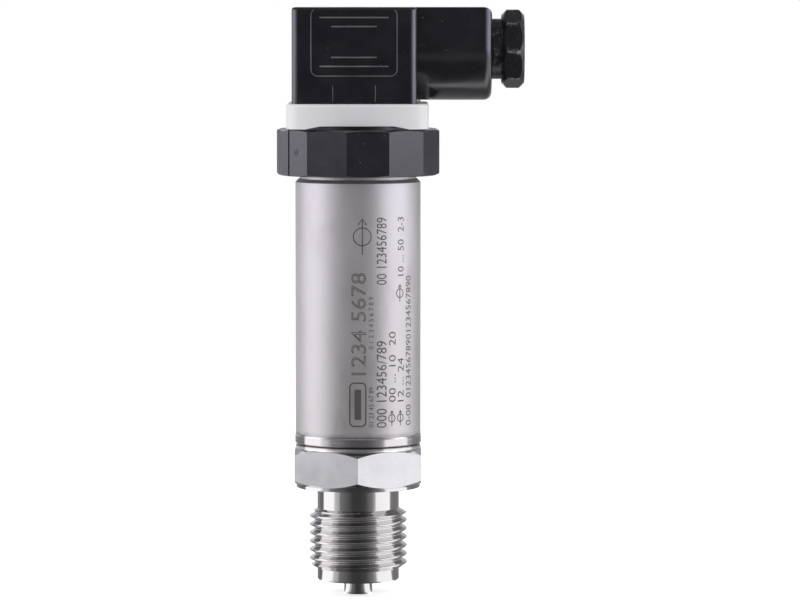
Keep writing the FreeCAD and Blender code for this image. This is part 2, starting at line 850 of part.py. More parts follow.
def lead(points, radius):
    """A thin wire through points, as a swept tube with mitred bends."""
    corners = [FreeCAD.Vector(*(float(number) for number in point)) for point in points]
    path = Part.Wire(Part.makePolygon(corners).Edges)
    section = Part.Wire(Part.makeCircle(radius, corners[0], corners[1] - corners[0]))
    shell = Part.BRepOffsetAPI.MakePipeShell(path)
    shell.add(section)
    shell.setTransitionMode(1)
    shell.build()
    shell.makeSolid()
    return shell.shape()


def lead_group(label, routes, radius):
    """Several leads as one node."""
    group = document.addObject("Part::Feature", label)
    group.Label = label
    group.Shape = Part.makeCompound([lead(route, radius) for route in routes])
    return group


def cell_leads():
    """Leads from the header pins to solder pads at the foot of the board."""
    radius = float(s.cell_lead_diameter) / 2
    pins = pin_places(int(s.pin_count.value))
    pin_top = cell_bottom + s.diaphragm_recess + s.oil_space_height - s.pin_diameter + s.pin_length
    face = float(board_face) + radius
    routes = []
    for index, (across, deep) in enumerate(pins):
        side = 1 if float(deep) >= 0 else -1
        pad = (index - (len(pins) - 1) / 2) * float(s.cell_lead_diameter) * 3
        routes.append([
            (across, deep, pin_top),
            (across, deep, pin_top + s.cell_lead_diameter * 1.5),
            (pad, side * face, board_bottom - s.cell_lead_diameter),
            (pad, side * face, board_bottom + s.solder_zone * 0.7),
        ])
    return lead_group("cell_leads", routes, radius)


tail_end = neck_top - s.base_groove_drop - s.tail_length


def head_leads():
    """Leads from the top of the board to the tails of the four contacts."""
    radius = float(s.lead_diameter) / 2
    face = float(board_face) + radius
    side = float(contact_place)
    routes = []
    for across, deep, pad in ((-1, 0, -3), (1, 0, 3), (0, 1, 1.5), (0, -1, -1.5)):
        front = 1 if deep > 0 or across > 0 else -1
        place = pad * float(s.lead_diameter) * 1.5
        routes.append([
            (place, front * face, board_top - s.solder_zone * 0.8),
            (place, front * face, board_top + s.lead_diameter * 0.7),
            (across * side, deep * side, tail_end - s.lead_diameter),
            (across * side, deep * side, tail_end),
        ])
    return lead_group("head_leads", routes, radius)


def connector_base():
    """Moulded base: spigot with a seal groove and key, clamping flange and round pedestal."""
    body = new_body("connector_base")
    spigot = neck_bore_radius - s.base_spigot_clearance
    floor = spigot - s.base_groove_depth
    groove_top = neck_top - s.base_groove_drop
    groove_bottom = groove_top - s.base_groove_width
    turned(body, "Revolution", "moulding", [
        (ZERO, base_bottom),
        (spigot - s.neck_chamfer, base_bottom),
        (spigot, base_bottom + s.neck_chamfer),
        (spigot, groove_bottom),
        (floor, groove_bottom),
        (floor, groove_top),
        (spigot, groove_top),
        (spigot, neck_top),
        (neck_radius - s.base_flange_step, neck_top),
        (neck_radius - s.base_flange_step, flange_top),
        (pedestal_radius, flange_top),
        (pedestal_radius, pedestal_top),
        (ZERO, pedestal_top),
    ])
    half = s.key_width / 2
    key = outline(body, "key_outline", "XY_Plane",
                  rectangle((floor + spigot) / 2, neck_radius - s.key_clearance, -half, half), neck_top)
    raised(body, "key", key, s.key_height, downward=True)
    hole = circles(body, "insert_hole_outline", "XY_Plane", [(ZERO, ZERO)],
                   s.insert_diameter / 2 + s.insert_fit, pedestal_top)
    sunk(body, "insert_hole", hole, s.insert_length + s.insert_recess)
    place = contact_place
    thick = s.blade_thickness / 2
    for name, across, deep in (("first", -1, 0), ("second", 1, 0), ("third", 0, 1), ("earth", 0, -1)):
        for level, width, start, depth in (
            ("root", s.blade_width / 2, pedestal_top, s.blade_root),
            ("tail", s.tail_width / 2, pedestal_top, pedestal_top - base_bottom),
        ):
            wide = width if deep else thick
            high = thick if deep else width
            centre_x = place * across
            centre_y = place * deep
            slot = outline(body, f"{name}_{level}_outline", "XY_Plane",
                           rectangle(centre_x - wide, centre_x + wide, centre_y - high, centre_y + high), start)
            sunk(body, f"{name}_{level}_slot", slot, depth)
    return body


def contact_blade(label, direction, extra):
    """Flat tinned contact with a tapered tip, a detent hole and a solder tail."""
    body = new_body(label)
    half = s.blade_width / 2
    tail = s.tail_width / 2
    root = pedestal_top - s.blade_root
    tip = pedestal_top + s.blade_reach + extra
    sketch = outline(body, "blade_outline", "YZ_Plane", [
        (-tail, tail_end),
        (tail, tail_end),
        (tail, root),
        (half, root),
        (half, tip - s.blade_tip_chamfer),
        (half - s.blade_tip_chamfer, tip),
        (s.blade_tip_chamfer - half, tip),
        (-half, tip - s.blade_tip_chamfer),
        (-half, root),
        (-tail, root),
    ])
    raised(body, "blade", sketch, s.blade_thickness, symmetric=True)
    hole = circles(body, "detent_outline", "YZ_Plane", [(ZERO, tip - s.blade_hole_drop)],
                   s.blade_hole_diameter / 2)
    sunk(body, "detent_hole", hole, s.blade_thickness * 2, symmetric=True)
    angle = {(1, 0): 0, (-1, 0): 180, (0, 1): 90, (0, -1): -90}[direction]
    body.Placement = FreeCAD.Placement(FreeCAD.Vector(0, 0, 0), FreeCAD.Rotation(FreeCAD.Vector(0, 0, 1), angle))
    bind(body, "Placement.Base.x", contact_place * direction[0])
    bind(body, "Placement.Base.y", contact_place * direction[1])
    return body


def base_thread_insert():
    """Brass insert moulded into the base for the plug screw, with a grip groove."""
    body = new_body("base_thread_insert")
    outer = s.insert_diameter / 2
    waist = outer - s.insert_recess
    third = s.insert_length / 3
    turned(body, "Revolution", "insert", [
        (s.screw_diameter / 2 + s.screw_clearance / 2, ZERO),
        (outer, ZERO),
        (outer, third),
        (waist, third),
        (waist, third * 2),
        (outer, third * 2),
        (outer, s.insert_length),
        (s.screw_diameter / 2 + s.screw_clearance / 2, s.insert_length),
    ])
    stand(body, pedestal_top - s.insert_recess - s.insert_length)
    return body


def base_o_ring():
    """Seal ring in the groove of the base's spigot."""
    ring = document.addObject("Part::Torus", "base_o_ring")
    ring.Label = "base_o_ring"
    floor = neck_bore_radius - s.base_spigot_clearance - s.base_groove_depth
    bind(ring, "Radius1", floor + s.insert_fit + s.base_ring_cord / 2)
    bind(ring, "Radius2", s.base_ring_cord / 2)
    bind(ring, "Placement.Base.z", neck_top - s.base_groove_drop - s.base_groove_width / 2)
    return ring


def profile_gasket():
    """White moulded gasket: rounded square with a counterbore over the nut's collar."""
    body = new_body("profile_gasket")
    bottom = pedestal_top - s.gasket_skirt
    section = outline(body, "block_outline", "XY_Plane",
                      rectangle(-gasket_half, gasket_half, -gasket_half, gasket_half), bottom)
    block = raised(body, "block", section, s.gasket_skirt + s.gasket_thickness)
    corners = softened(body, "corners", "Fillet", block, s.gasket_corner_radius, is_upright)
    softened(body, "top_edge", "Fillet", corners, s.gasket_top_radius, lambda edge: lies_at(edge, gasket_top))
    roof = nut_collar_radius + s.gasket_collar_clearance
    turned(body, "Groove", "counterbore", [
        (ZERO, bottom),
        (roof + s.gasket_mouth_flare, bottom),
        (roof, pedestal_top),
        (ZERO, pedestal_top),
    ])
    hole = circles(body, "centre_hole_outline", "XY_Plane", [(ZERO, ZERO)], s.gasket_centre_hole / 2, gasket_top)
    sunk(body, "centre_hole", hole, s.gasket_thickness)
    place = contact_place
    wide = s.blade_width / 2 + s.gasket_slot_clearance
    thin = s.blade_thickness / 2 + s.gasket_slot_clearance
    for name, across, deep in (("left", -1, 0), ("right", 1, 0), ("rear", 0, 1), ("front", 0, -1)):
        reach_x = wide if deep else thin
        reach_y = thin if deep else wide
        centre_x = place * across
        centre_y = place * deep
        slot = outline(body, name + "_slot_outline", "XY_Plane",
                       rectangle(centre_x - reach_x, centre_x + reach_x, centre_y - reach_y, centre_y + reach_y),
                       gasket_top)
        sunk(body, name + "_slot", slot, s.gasket_thickness)
    near = plug_right + s.tab_gap
    half_tab = s.tab_width / 2
    tab = outline(body, "tab_outline", "XY_Plane",
                  rectangle(near, near + s.tab_thickness, -half_tab, half_tab), gasket_top - s.gasket_top_radius)
    raised(body, "tab", tab, s.gasket_top_radius + s.tab_height)
    return body


def union_nut():
    """Black moulded twelve-sided nut with a round collar, a clamping lip and a notched side."""
    body = new_body("union_nut")
    corner = nut_corner_radius
    sides = int(s.nut_sides.value)
    prism = outline(body, "prism_outline", "XY_Plane", polygon(corner, sides, float(s.nut_first_corner)),
                    nut_bottom)
    raised(body, "prism", prism, nut_collar_bottom - nut_bottom)
    collar = circles(body, "collar_outline", "XY_Plane", [(ZERO, ZERO)], nut_collar_radius, nut_collar_bottom)
    raised(body, "collar", collar, s.nut_collar_height)
    flat = corner * math.cos(math.pi / sides)
    over = corner + s.cut_overrun
    slope = (over - flat) + s.nut_edge
    turned(body, "Groove", "lower_edge", [
        (flat - s.nut_edge, nut_bottom),
        (over, nut_bottom - s.nut_edge),
        (over, nut_bottom + slope * 0.5),
    ])
    turned(body, "Groove", "upper_edge", [
        (flat - s.nut_edge, nut_collar_bottom),
        (over, nut_collar_bottom - slope * 0.5),
        (over, nut_collar_bottom + s.nut_edge),
    ])
    bore = neck_radius + s.nut_thread_clearance
    lip = pedestal_radius + s.nut_lip_clearance
    turned(body, "Groove", "inside", [
        (ZERO, nut_bottom),
        (bore + s.neck_chamfer, nut_bottom),
        (bore, nut_bottom + s.neck_chamfer),
        (bore, flange_top),
        (lip, flange_top),
        (lip, nut_top),
        (ZERO, nut_top),
    ])
    facet = math.radians(float(s.nut_first_corner) + 180 / sides - 360 / sides * s.nut_notch_facet.value)
    along = (-math.sin(facet), math.cos(facet))
    outward = (math.cos(facet), math.sin(facet))
    deep = flat - s.nut_notch_depth
    corners = []
    for reach, shift in ((deep, -1), (over, -1), (over, 1), (deep, 1)):
        offset = -s.nut_notch_offset + s.nut_notch_width * shift / 2
        corners.append((reach * outward[0] + offset * along[0], reach * outward[1] + offset * along[1]))
    notch = outline(body, "notch_outline", "XY_Plane", corners, nut_collar_bottom)
    sunk(body, "notch", notch, nut_collar_bottom - nut_bottom)
    return body


def plug_housing():
    """Moulded angled housing: box over the contacts, barrel for the cable gland."""
    body = new_body("plug_housing")
    section = outline(body, "box_outline", "XY_Plane", rectangle(-plug_left, plug_right, -plug_face, plug_face),
                      gasket_top)
    box = raised(body, "box", section, s.plug_height)
    rounded = softened(body, "box_corners", "Fillet", box, s.plug_corner_radius, is_upright)
    softened(body, "box_top_edge", "Fillet", rounded, s.plug_top_radius, lambda edge: lies_at(edge, plug_top))
    radius = s.barrel_diameter / 2
    barrel_start = plug_right - s.plug_corner_radius
    tunnel = outline(body, "barrel_outline", "YZ_Plane", [
        (-radius, gland_axis, (ZERO, gland_axis)),
        (radius, gland_axis),
        (radius, plug_top),
        (-radius, plug_top),
    ], barrel_start)
    barrel = raised(body, "barrel", tunnel, barrel_end - barrel_start)
    softened(body, "barrel_edges", "Fillet", barrel, s.barrel_edge_radius, is_barrel_edge)
    cavity = outline(body, "cavity_outline", "XY_Plane",
                     rectangle(-cavity_half, cavity_half, -cavity_half, cavity_half), gasket_top)
    sunk(body, "cavity", cavity, s.plug_height - s.plug_top_wall, from_below=True)
    boss_bottom = plug_top - s.screw_boss_height
    boss = circles(body, "boss_outline", "XY_Plane", [(ZERO, ZERO)], s.screw_boss_diameter / 2, boss_bottom)
    raised(body, "screw_boss", boss, s.screw_boss_height - s.plug_top_wall / 2)
    hole = circles(body, "screw_hole_outline", "XY_Plane", [(ZERO, ZERO)],
                   s.screw_diameter / 2 + s.screw_clearance, plug_top)
    sunk(body, "screw_hole", hole, s.screw_boss_height)
    recess = circles(body, "recess_outline", "XY_Plane", [(ZERO, ZERO)], s.recess_diameter / 2, plug_top)
    sunk(body, "screw_recess", recess, s.recess_depth)
    thread_step = washer_start + s.washer_thickness - s.gland_opening - s.gland_thread_clearance
    for name, radius, start, end in (
        ("throat", s.throat_diameter / 2, cavity_half - s.cut_overrun, seal_start),
        ("seal_seat", s.gland_seal_diameter / 2 + s.seal_bore_clearance, seal_start, thread_step),
        ("gland_thread", s.gland_thread_diameter / 2 + s.gland_thread_clearance, thread_step, barrel_end),
    ):
        section = circles(body, name + "_outline", "YZ_Plane", [(ZERO, gland_axis)], radius, end)
        sunk(body, name, section, end - start)
    centre = -s.panel_offset
    wide = s.panel_width / 2
    corner = s.panel_corner_radius
    low = plug_top - s.panel_drop
    high = plug_top - s.plug_top_radius
    panel = outline(body, "panel_outline", "XZ_Plane", [
        (centre - wide, high - corner),
        (centre - wide, low + corner, (centre - wide + corner, low + corner)),
        (centre - wide + corner, low),
        (centre + wide - corner, low, (centre + wide - corner, low + corner)),
        (centre + wide, low + corner),
        (centre + wide, high - corner, (centre + wide - corner, high - corner)),
        (centre + wide - corner, high),
        (centre - wide + corner, high, (centre - wide + corner, high - corner)),
    ], plug_face)
    sunk(body, "panel", panel, s.panel_depth)
    bars_middle = plug_top - s.bar_centre_drop
    for name, length, spread in (("long_bar", s.long_bar, s.outer_bar_spread / 2),
                                 ("short_bar", s.short_bar, s.inner_bar_spread / 2)):
        for side, height in (("upper", bars_middle + spread), ("lower", bars_middle - spread)):
            bar = outline(body, f"{side}_{name}_outline", "XZ_Plane",
                          round_bar(centre - length / 2, centre + length / 2, height, s.bar_thickness), plug_face)
            sunk(body, f"{side}_{name}", bar, s.panel_depth + s.bar_depth)
    label = outline(body, "label_outline", "XZ_Plane",
                    rectangle(centre - s.label_width / 2, centre + s.label_width / 2, gasket_top,
                              gasket_top + s.label_height), plug_face)
    sunk(body, "label_field", label, s.panel_depth)
    return body


def is_barrel_edge(edge):
    """Whether an edge bounds the barrel's end face or runs along its two upper corners."""
    box = edge.BoundBox
    reach = float(barrel_end)
    at_end = abs(box.XMin - reach) < 0.01 and abs(box.XMax - reach) < 0.01
    straight = isinstance(edge.Curve, Part.Line) and box.XLength > 0.9 * edge.Length
    upper = straight and box.XMin > float(plug_right) - 0.01 and lies_at(edge, plug_top)
    return at_end or upper


def contact_insert():
    """Moulded block that carries the sockets and their terminals."""
    body = new_body("contact_insert")
    section = outline(body, "block_outline", "XY_Plane",
                      rectangle(-block_half, block_half, -block_half, block_half), block_bottom)
    block = raised(body, "block", section, s.contact_block_height)
    softened(body, "corners", "Chamfer", block, s.contact_block_corner, is_upright)
    hole = circles(body, "screw_hole_outline", "XY_Plane", [(ZERO, ZERO)], s.block_screw_hole / 2, block_top)
    sunk(body, "screw_hole", hole, s.contact_block_height)
    place = contact_place
    wide = s.socket_width / 2 + s.socket_clearance
    thin = s.socket_thickness / 2 + s.socket_clearance
    screws = []
    for name, across, deep in (("left", -1, 0), ("right", 1, 0), ("rear", 0, 1), ("front", 0, -1)):
        reach_x = wide if deep else thin
        reach_y = thin if deep else wide
        chamber = outline(body, name + "_chamber_outline", "XY_Plane",
                          rectangle(place * across - reach_x, place * across + reach_x,
                                    place * deep - reach_y, place * deep + reach_y), block_top)
        sunk(body, name + "_chamber", chamber, s.contact_block_height)
        screws.append((terminal_place * across, terminal_place * deep))
    holes = circles(body, "terminal_holes_outline", "XY_Plane", screws,
                    s.terminal_shank_diameter / 2 + s.screw_clearance, block_top)
    sunk(body, "terminal_holes", holes, s.terminal_shank_length + s.screw_clearance - s.tongue_thickness)
    return body


def socket_contact(label, direction):
    """Folded spring socket for one blade, with a terminal tongue over the block."""
    body = new_body(label)
    place = contact_place
    thin = s.socket_thickness / 2
    half = s.socket_width / 2
    low = block_bottom + s.socket_drop
    profile = outline(body, "socket_outline", "XZ_Plane", [
        (place - thin, low),
        (place + thin, low),
        (place + thin, terminal_top),
        (tongue_start, terminal_top),
        (tongue_start, block_top),
        (place - thin, block_top),
    ])
    raised(body, "strip", profile, half * 2, symmetric=True)
    wide = s.blade_width / 2 + s.socket_clearance
    slim = s.blade_thickness / 2 + s.socket_clearance
    slot = outline(body, "slot_outline", "XY_Plane", rectangle(place - slim, place + slim, -wide, wide), low)
    sunk(body, "slot", slot, block_top - low, from_below=True)
    narrow = s.terminal_head_diameter / 2
    for name, near, away in (("front_trim", -half * 2, -narrow), ("rear_trim", narrow, half * 2)):
        trim = outline(body, name + "_outline", "XY_Plane", rectangle(ZERO, place - thin, near, away), terminal_top)
        sunk(body, name, trim, s.tongue_thickness)
    hole = circles(body, "screw_hole_outline", "XY_Plane", [(terminal_place, ZERO)],
                   s.terminal_shank_diameter / 2 + s.screw_clearance, terminal_top)
    sunk(body, "screw_hole", hole, s.tongue_thickness)
    angle = {(1, 0): 0, (-1, 0): 180, (0, 1): 90, (0, -1): -90}[direction]
    body.Placement = FreeCAD.Placement(FreeCAD.Vector(0, 0, 0), FreeCAD.Rotation(FreeCAD.Vector(0, 0, 1), angle))
    return body


def slotted_screw(body, head, head_height, shank, shank_length, slot_width, slot_depth):
    """A cheese-head screw, its head's underside at height zero; the last additive feature is given back."""
    chamfer = shank * 0.25
    screw = turned(body, "Revolution", "screw", [
        (ZERO, -shank_length),
        (shank - chamfer, -shank_length),
        (shank, chamfer - shank_length),
        (shank, ZERO),
        (head, ZERO),
        (head, head_height - slot_depth / 3),
        (head - slot_depth / 3, head_height),
        (ZERO, head_height),
    ])
    slot = outline(body, "slot_outline", "XY_Plane",
                   rectangle(-head * 1.1, head * 1.1, -slot_width / 2, slot_width / 2), head_height)
    return screw, sunk(body, "slot", slot, slot_depth)


def terminal_screws():
    """Four equal terminal screws, one on each contact's tongue."""
    body = new_body("terminal_screws", several_solids=True)
    middle = terminal_place
    head = s.terminal_head_diameter / 2
    shank = s.terminal_shank_diameter / 2
    top = terminal_top + s.terminal_head_height
    section = circles(body, "head_outline", "XY_Plane", [(middle, ZERO)], head, terminal_top)
    head_disc = raised(body, "head", section, s.terminal_head_height)
    ring_of_heads = patterned(body, "PolarPattern", "heads", head_disc, "Z_Axis", None, 4)
    section = circles(body, "shank_outline", "XY_Plane", [(middle, ZERO)], shank, terminal_top)
    shaft = raised(body, "shank", section, s.terminal_shank_length, downward=True)
    patterned(body, "PolarPattern", "shanks", shaft, "Z_Axis", None, 4)
    half = s.terminal_slot_width / 2
    slot = sunk(body, "slot", outline(body, "slot_outline", "XY_Plane",
                                      rectangle(middle - head * 1.1, middle + head * 1.1, -half, half), top),
                s.terminal_slot_depth)
    patterned(body, "PolarPattern", "slots", slot, "Z_Axis", None, 4)
    return body


def gland_seal():
    """Rubber bush that grips the cable."""
    body = new_body("gland_seal")
    outer = s.gland_seal_diameter / 2
    bore = s.gland_seal_bore / 2
    edge = s.gland_seal_edge
    turned(body, "Revolution", "bush", [
        (bore, edge),
        (bore + edge, ZERO),
        (outer - edge, ZERO),
        (outer, edge),
        (outer, s.gland_seal_length - edge),
        (outer - edge, s.gland_seal_length),
        (bore + edge, s.gland_seal_length),
        (bore, s.gland_seal_length - edge),
    ])
    lay_along_x(body, seal_start, gland_axis)
    return body


def gland_washer():
    """Slip washer between the seal and the pressing screw."""
    body = new_body("gland_washer")
    turned(body, "Revolution", "washer",
           rectangle(s.washer_bore / 2, s.washer_diameter / 2, ZERO, s.washer_thickness))
    lay_along_x(body, washer_start, gland_axis)
    return body


def gland_screw():
    """Pressing screw of the gland: threaded shank, neck and eight-sided head with a cable bore."""
    body = new_body("gland_screw")
    shank = s.gland_thread_diameter / 2
    neck = s.gland_neck_diameter / 2
    length = gland_end - shank_start
    head_start = gland_head_start - shank_start
    turned(body, "Revolution", "shank", [
        (ZERO, ZERO),
        (shank - s.gland_head_edge, ZERO),
        (shank, s.gland_head_edge),
        (shank, s.gland_shank_length),
        (neck, s.gland_shank_length),
        (neck, length - s.gland_head_edge),
        (ZERO, length - s.gland_head_edge),
    ])
    corner = s.gland_head_corners / 2
    sides = int(s.gland_head_sides.value)
    head = outline(body, "head_outline", "XY_Plane", polygon(corner, sides, -90 + float(s.gland_head_turn)),
                   head_start)
    raised(body, "head", head, s.gland_head_length)
    flat = corner * math.cos(math.pi / sides)
    over = corner + s.cut_overrun
    rise = (over - flat) + s.gland_head_edge
    turned(body, "Groove", "outer_edge", [
        (flat - s.gland_head_edge, length),
        (over, length - rise),
        (over, length),
    ])
    turned(body, "Groove", "inner_edge", [
        (flat - s.gland_head_edge, head_start),
        (over, head_start),
        (over, head_start + rise),
    ])
    turned(body, "Groove", "cable_bore", [
        (ZERO, ZERO),
        (s.cable_bore / 2, ZERO),
        (s.cable_bore / 2, length - s.gland_head_edge),
        (s.cable_bore / 2 + s.gland_head_edge, length),
        (ZERO, length),
    ])
    lay_along_x(body, shank_start, gland_axis)
    return body


recess_floor = plug_top - s.recess_depth


def screw_seal_ring():
    """Flat seal ring under the head of the plug screw."""
    body = new_body("screw_seal_ring")
    turned(body, "Revolution", "ring",
           rectangle(s.screw_diameter / 2 + s.screw_clearance, s.screw_head_diameter / 2, ZERO,
                     s.seal_ring_thickness))
    stand(body, recess_floor)
    return body


def plug_screw():
    """Long screw through the plug into the insert of the base."""
    body = new_body("plug_screw")
    insert_top = pedestal_top - s.insert_recess
    head_seat = recess_floor + s.seal_ring_thickness
    slotted_screw(body, s.screw_head_diameter / 2, s.screw_head_height, s.screw_diameter / 2,
                  head_seat - insert_top + s.screw_engagement, s.screw_slot_width, s.screw_slot_depth)
    stand(body, head_seat)
    return body


subparts = [
    process_connection(),
    measuring_cell(),
    isolating_diaphragm(),
    sensor_chip(),
    header_pins(),
    cell_o_ring(),
    cell_locking_ring(),
    case_tube(),
    board_carrier("board_carrier_lower", weld_spigot_top, turned_over=False),
    board_carrier("board_carrier_upper", inner_shoulder, turned_over=True),
    circuit_board(),
    amplifier_chip(),
    board_capacitors(),
    cell_leads(),
    head_leads(),
    connector_base(),
    contact_blade("contact_blade_1", (-1, 0), ZERO),
    contact_blade("contact_blade_2", (1, 0), ZERO),
    contact_blade("contact_blade_3", (0, 1), ZERO),
    contact_blade("earth_blade", (0, -1), s.earth_lead),
    base_thread_insert(),
    base_o_ring(),
    profile_gasket(),
    union_nut(),
    plug_housing(),
    contact_insert(),
    socket_contact("socket_contact_1", (-1, 0)),
    socket_contact("socket_contact_2", (1, 0)),
    socket_contact("socket_contact_3", (0, 1)),
    socket_contact("earth_socket", (0, -1)),
    terminal_screws(),
    gland_seal(),
    gland_washer(),
    gland_screw(),
    screw_seal_ring(),
    plug_screw(),
]

document.recompute()

for item in document.Objects:
    if "Invalid" in item.State or "Error" in item.State:
        raise RuntimeError(f"{item.Label} could not be built: {item.State}")

os.makedirs("parts", exist_ok=True)
for subpart in subparts:
    shape = subpart.Shape
    if shape.isNull() or not shape.isValid():
        raise RuntimeError(f"{subpart.Label} has no valid shape")
    shape.exportStep(f"parts/{subpart.Label}.step")
    box = shape.BoundBox
    print(f"{subpart.Label}: {len(shape.Solids)} solids, {shape.Volume:.1f} mm3, "
          f"z {box.ZMin:.2f} to {box.ZMax:.2f}, x {box.XMin:.2f} to {box.XMax:.2f}")
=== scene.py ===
import math

import bmesh
import bpy
import numpy as np
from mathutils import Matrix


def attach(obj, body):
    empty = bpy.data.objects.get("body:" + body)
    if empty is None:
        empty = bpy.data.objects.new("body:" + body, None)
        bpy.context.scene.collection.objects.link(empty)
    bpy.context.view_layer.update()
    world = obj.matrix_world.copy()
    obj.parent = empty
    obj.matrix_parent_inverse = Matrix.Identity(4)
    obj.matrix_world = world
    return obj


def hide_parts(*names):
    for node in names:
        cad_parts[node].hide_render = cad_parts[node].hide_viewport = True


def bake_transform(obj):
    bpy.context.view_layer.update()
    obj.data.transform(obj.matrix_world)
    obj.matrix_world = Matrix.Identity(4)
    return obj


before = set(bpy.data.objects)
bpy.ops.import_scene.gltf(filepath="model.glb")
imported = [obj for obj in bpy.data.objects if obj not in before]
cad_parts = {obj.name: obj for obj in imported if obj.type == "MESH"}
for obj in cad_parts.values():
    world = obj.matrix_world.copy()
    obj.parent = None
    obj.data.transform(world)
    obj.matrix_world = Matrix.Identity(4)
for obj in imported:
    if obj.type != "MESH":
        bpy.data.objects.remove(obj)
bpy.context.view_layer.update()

# Camera
# The photograph was taken with a long lens from about a metre, a little above the plug.
# The camera looks along the Y axis and slightly down.
CAMERA_PLACE = (0.009, -1.006, 0.127)
CAMERA_PITCH = math.radians(3.8)
SENSOR_WIDTH_MM = 36.0
LENS_MM = 211.5

camera_data = bpy.data.cameras.new("camera")
camera_data.sensor_width = SENSOR_WIDTH_MM
camera_data.lens = LENS_MM
camera = bpy.data.objects.new("camera", camera_data)
camera.location = CAMERA_PLACE
camera.rotation_euler = (math.pi / 2 - CAMERA_PITCH, 0, 0)
bpy.context.scene.collection.objects.link(camera)
bpy.context.scene.camera = camera

# Process connection
# Turned from stainless hexagon bar: spigot, pilot, right-hand pipe thread, relief, hexagon and weld collar.
# Its surface is one profile turned about the axis, pressed to the hexagon and cut by the thread's helix.
SPIGOT_RADIUS = 0.0030
SPIGOT_LENGTH = 0.0030
PILOT_RADIUS = 0.00875
PILOT_TOP = 0.0025
THREAD_RADIUS = 0.0104775
THREAD_DEPTH = 0.001162
THREAD_PITCH = 0.001814
THREAD_TOP = 0.0155
THREAD_LEAD_IN = 0.0010
THREAD_PHASE = 0.003823
HALF_LAND = 1 / 12
THREAD_ROUNDING = 1 / 10
ROUNDING_STEPS = 15
RELIEF_FILLET = 0.0003
FILLET_POINTS = ((0, 1), (0.13, 0.5), (0.5, 0.13), (1, 0))
WASHER_FACE_RADIUS = 0.01325
WASHER_FACE_BOTTOM = 0.0200
HEXAGON_BOTTOM = 0.0207
HEXAGON_TOP = 0.0286
HEXAGON_HALF_FLATS = 0.0135
HEXAGON_TOP_RADIUS = 0.01342
HEXAGON_EDGE_BREAK = 0.000015
HEXAGON_EDGE_TURN = math.radians(0.1)
NOSE_CHAMFER = 0.0003
JOINT_CHAMFER = 0.0003
ROUND_STEPS = 180
THREAD_ROWS = 400
LOWER_CHAMFER = math.tan(math.radians(30))
UPPER_CHAMFER = math.tan(math.radians(27))
COLLAR_RADIUS = 0.01335
COLLAR_TOP = 0.02955
WELD_SPIGOT_RADIUS = 0.01215
WELD_SPIGOT_TOP = 0.0330
CELL_SEAT_RADIUS = 0.00955
CELL_SEAT_TOP = 0.0301
CELL_FLOOR = 0.0236
RING_SEAT_RADIUS = 0.01035
OIL_CHAMBER_RADIUS = 0.0065
OIL_CHAMBER_HEIGHT = 0.001
PRESSURE_BORE_RADIUS = 0.00175
EDGE = 0.00012
FLAT_ROWS = 3
HEAT_TINT_WIDTH = 0.0005
TURNING_STRETCH = (30, 30, 9000)
MILLING_STRETCH = (1500, 1500, 60)
BUMP_STRENGTH = 0.3
CLOUD_SCALE = 190.0
CLOUD_RANGE = (0.3, 0.7)


def mesh_object(name, points, faces, smooth_below):
    """A new object from points and faces; edges sharper than an angle in degrees stay hard."""
    mesh = bpy.data.meshes.new(name)
    mesh.from_pydata(points.reshape(-1, 3).tolist(), [], faces)
    mesh.validate()
    mesh.polygons.foreach_set("use_smooth", np.ones(len(mesh.polygons), dtype=bool))
    mesh.set_sharp_from_angle(angle=math.radians(smooth_below))
    piece = bpy.data.objects.new(name, mesh)
    bpy.context.scene.collection.objects.link(piece)
    return piece


def grid_faces(rows, columns, rows_close=False):
    """Quads over a grid of points whose columns close into a ring, and whose rows close too if asked."""
    row, column = np.meshgrid(np.arange(rows if rows_close else rows - 1), np.arange(columns), indexing="ij")
    next_row = (row + 1) % rows
    next_column = (column + 1) % columns
    quads = np.stack([row * columns + column, row * columns + next_column,
                      next_row * columns + next_column, next_row * columns + column], axis=-1)
    return quads.reshape(-1, 4).tolist()


def turned_points(radius, height, angle):
    """Points at a radius and height for each row, turned to each column's angle about Z."""
    return np.stack([radius * np.cos(angle), radius * np.sin(angle), height * np.ones_like(angle)], axis=-1)


def thread_radius(angle, height):
    """The radius of a right-hand thread: crest and root lands of a sixth of the pitch, joined by straight
    flanks and rounded by a mean over a fifth of the pitch; each turn rises by one pitch."""
    turn = (height - THREAD_PHASE) / THREAD_PITCH - angle / (2 * np.pi)
    depth = np.zeros_like(turn)
    for offset in np.linspace(-THREAD_ROUNDING, THREAD_ROUNDING, ROUNDING_STEPS):
        from_crest = np.abs((turn + offset + 0.5) % 1.0 - 0.5)
        depth += np.clip((from_crest - HALF_LAND) / (1 / 2 - 2 * HALF_LAND), 0, 1)
    return THREAD_RADIUS - THREAD_DEPTH * depth / ROUNDING_STEPS


def hexagon_radius(angle):
    """The distance to a hexagon's flat in each direction, with its six edges slightly broken."""
    from_flat = (angle + math.pi / 6) % (math.pi / 3) - math.pi / 6
    sharp = HEXAGON_HALF_FLATS / np.cos(from_flat)
    return np.minimum(sharp, HEXAGON_HALF_FLATS / math.cos(math.pi / 6) - HEXAGON_EDGE_BREAK)


def profile_rows(corners, angle):
    """One row of points for each (radius, height) corner, the same all round."""
    radius, height = np.array(corners).T[:, :, None] * np.ones_like(angle)
    return radius, height


corner_angles = np.arange(6) * math.pi / 3 + math.pi / 6
angles = np.unique(np.round(np.concatenate([
    np.arange(ROUND_STEPS) * 2 * math.pi / ROUND_STEPS,
    corner_angles - HEXAGON_EDGE_TURN,
    corner_angles + HEXAGON_EDGE_TURN,
]), 9))[None, :]

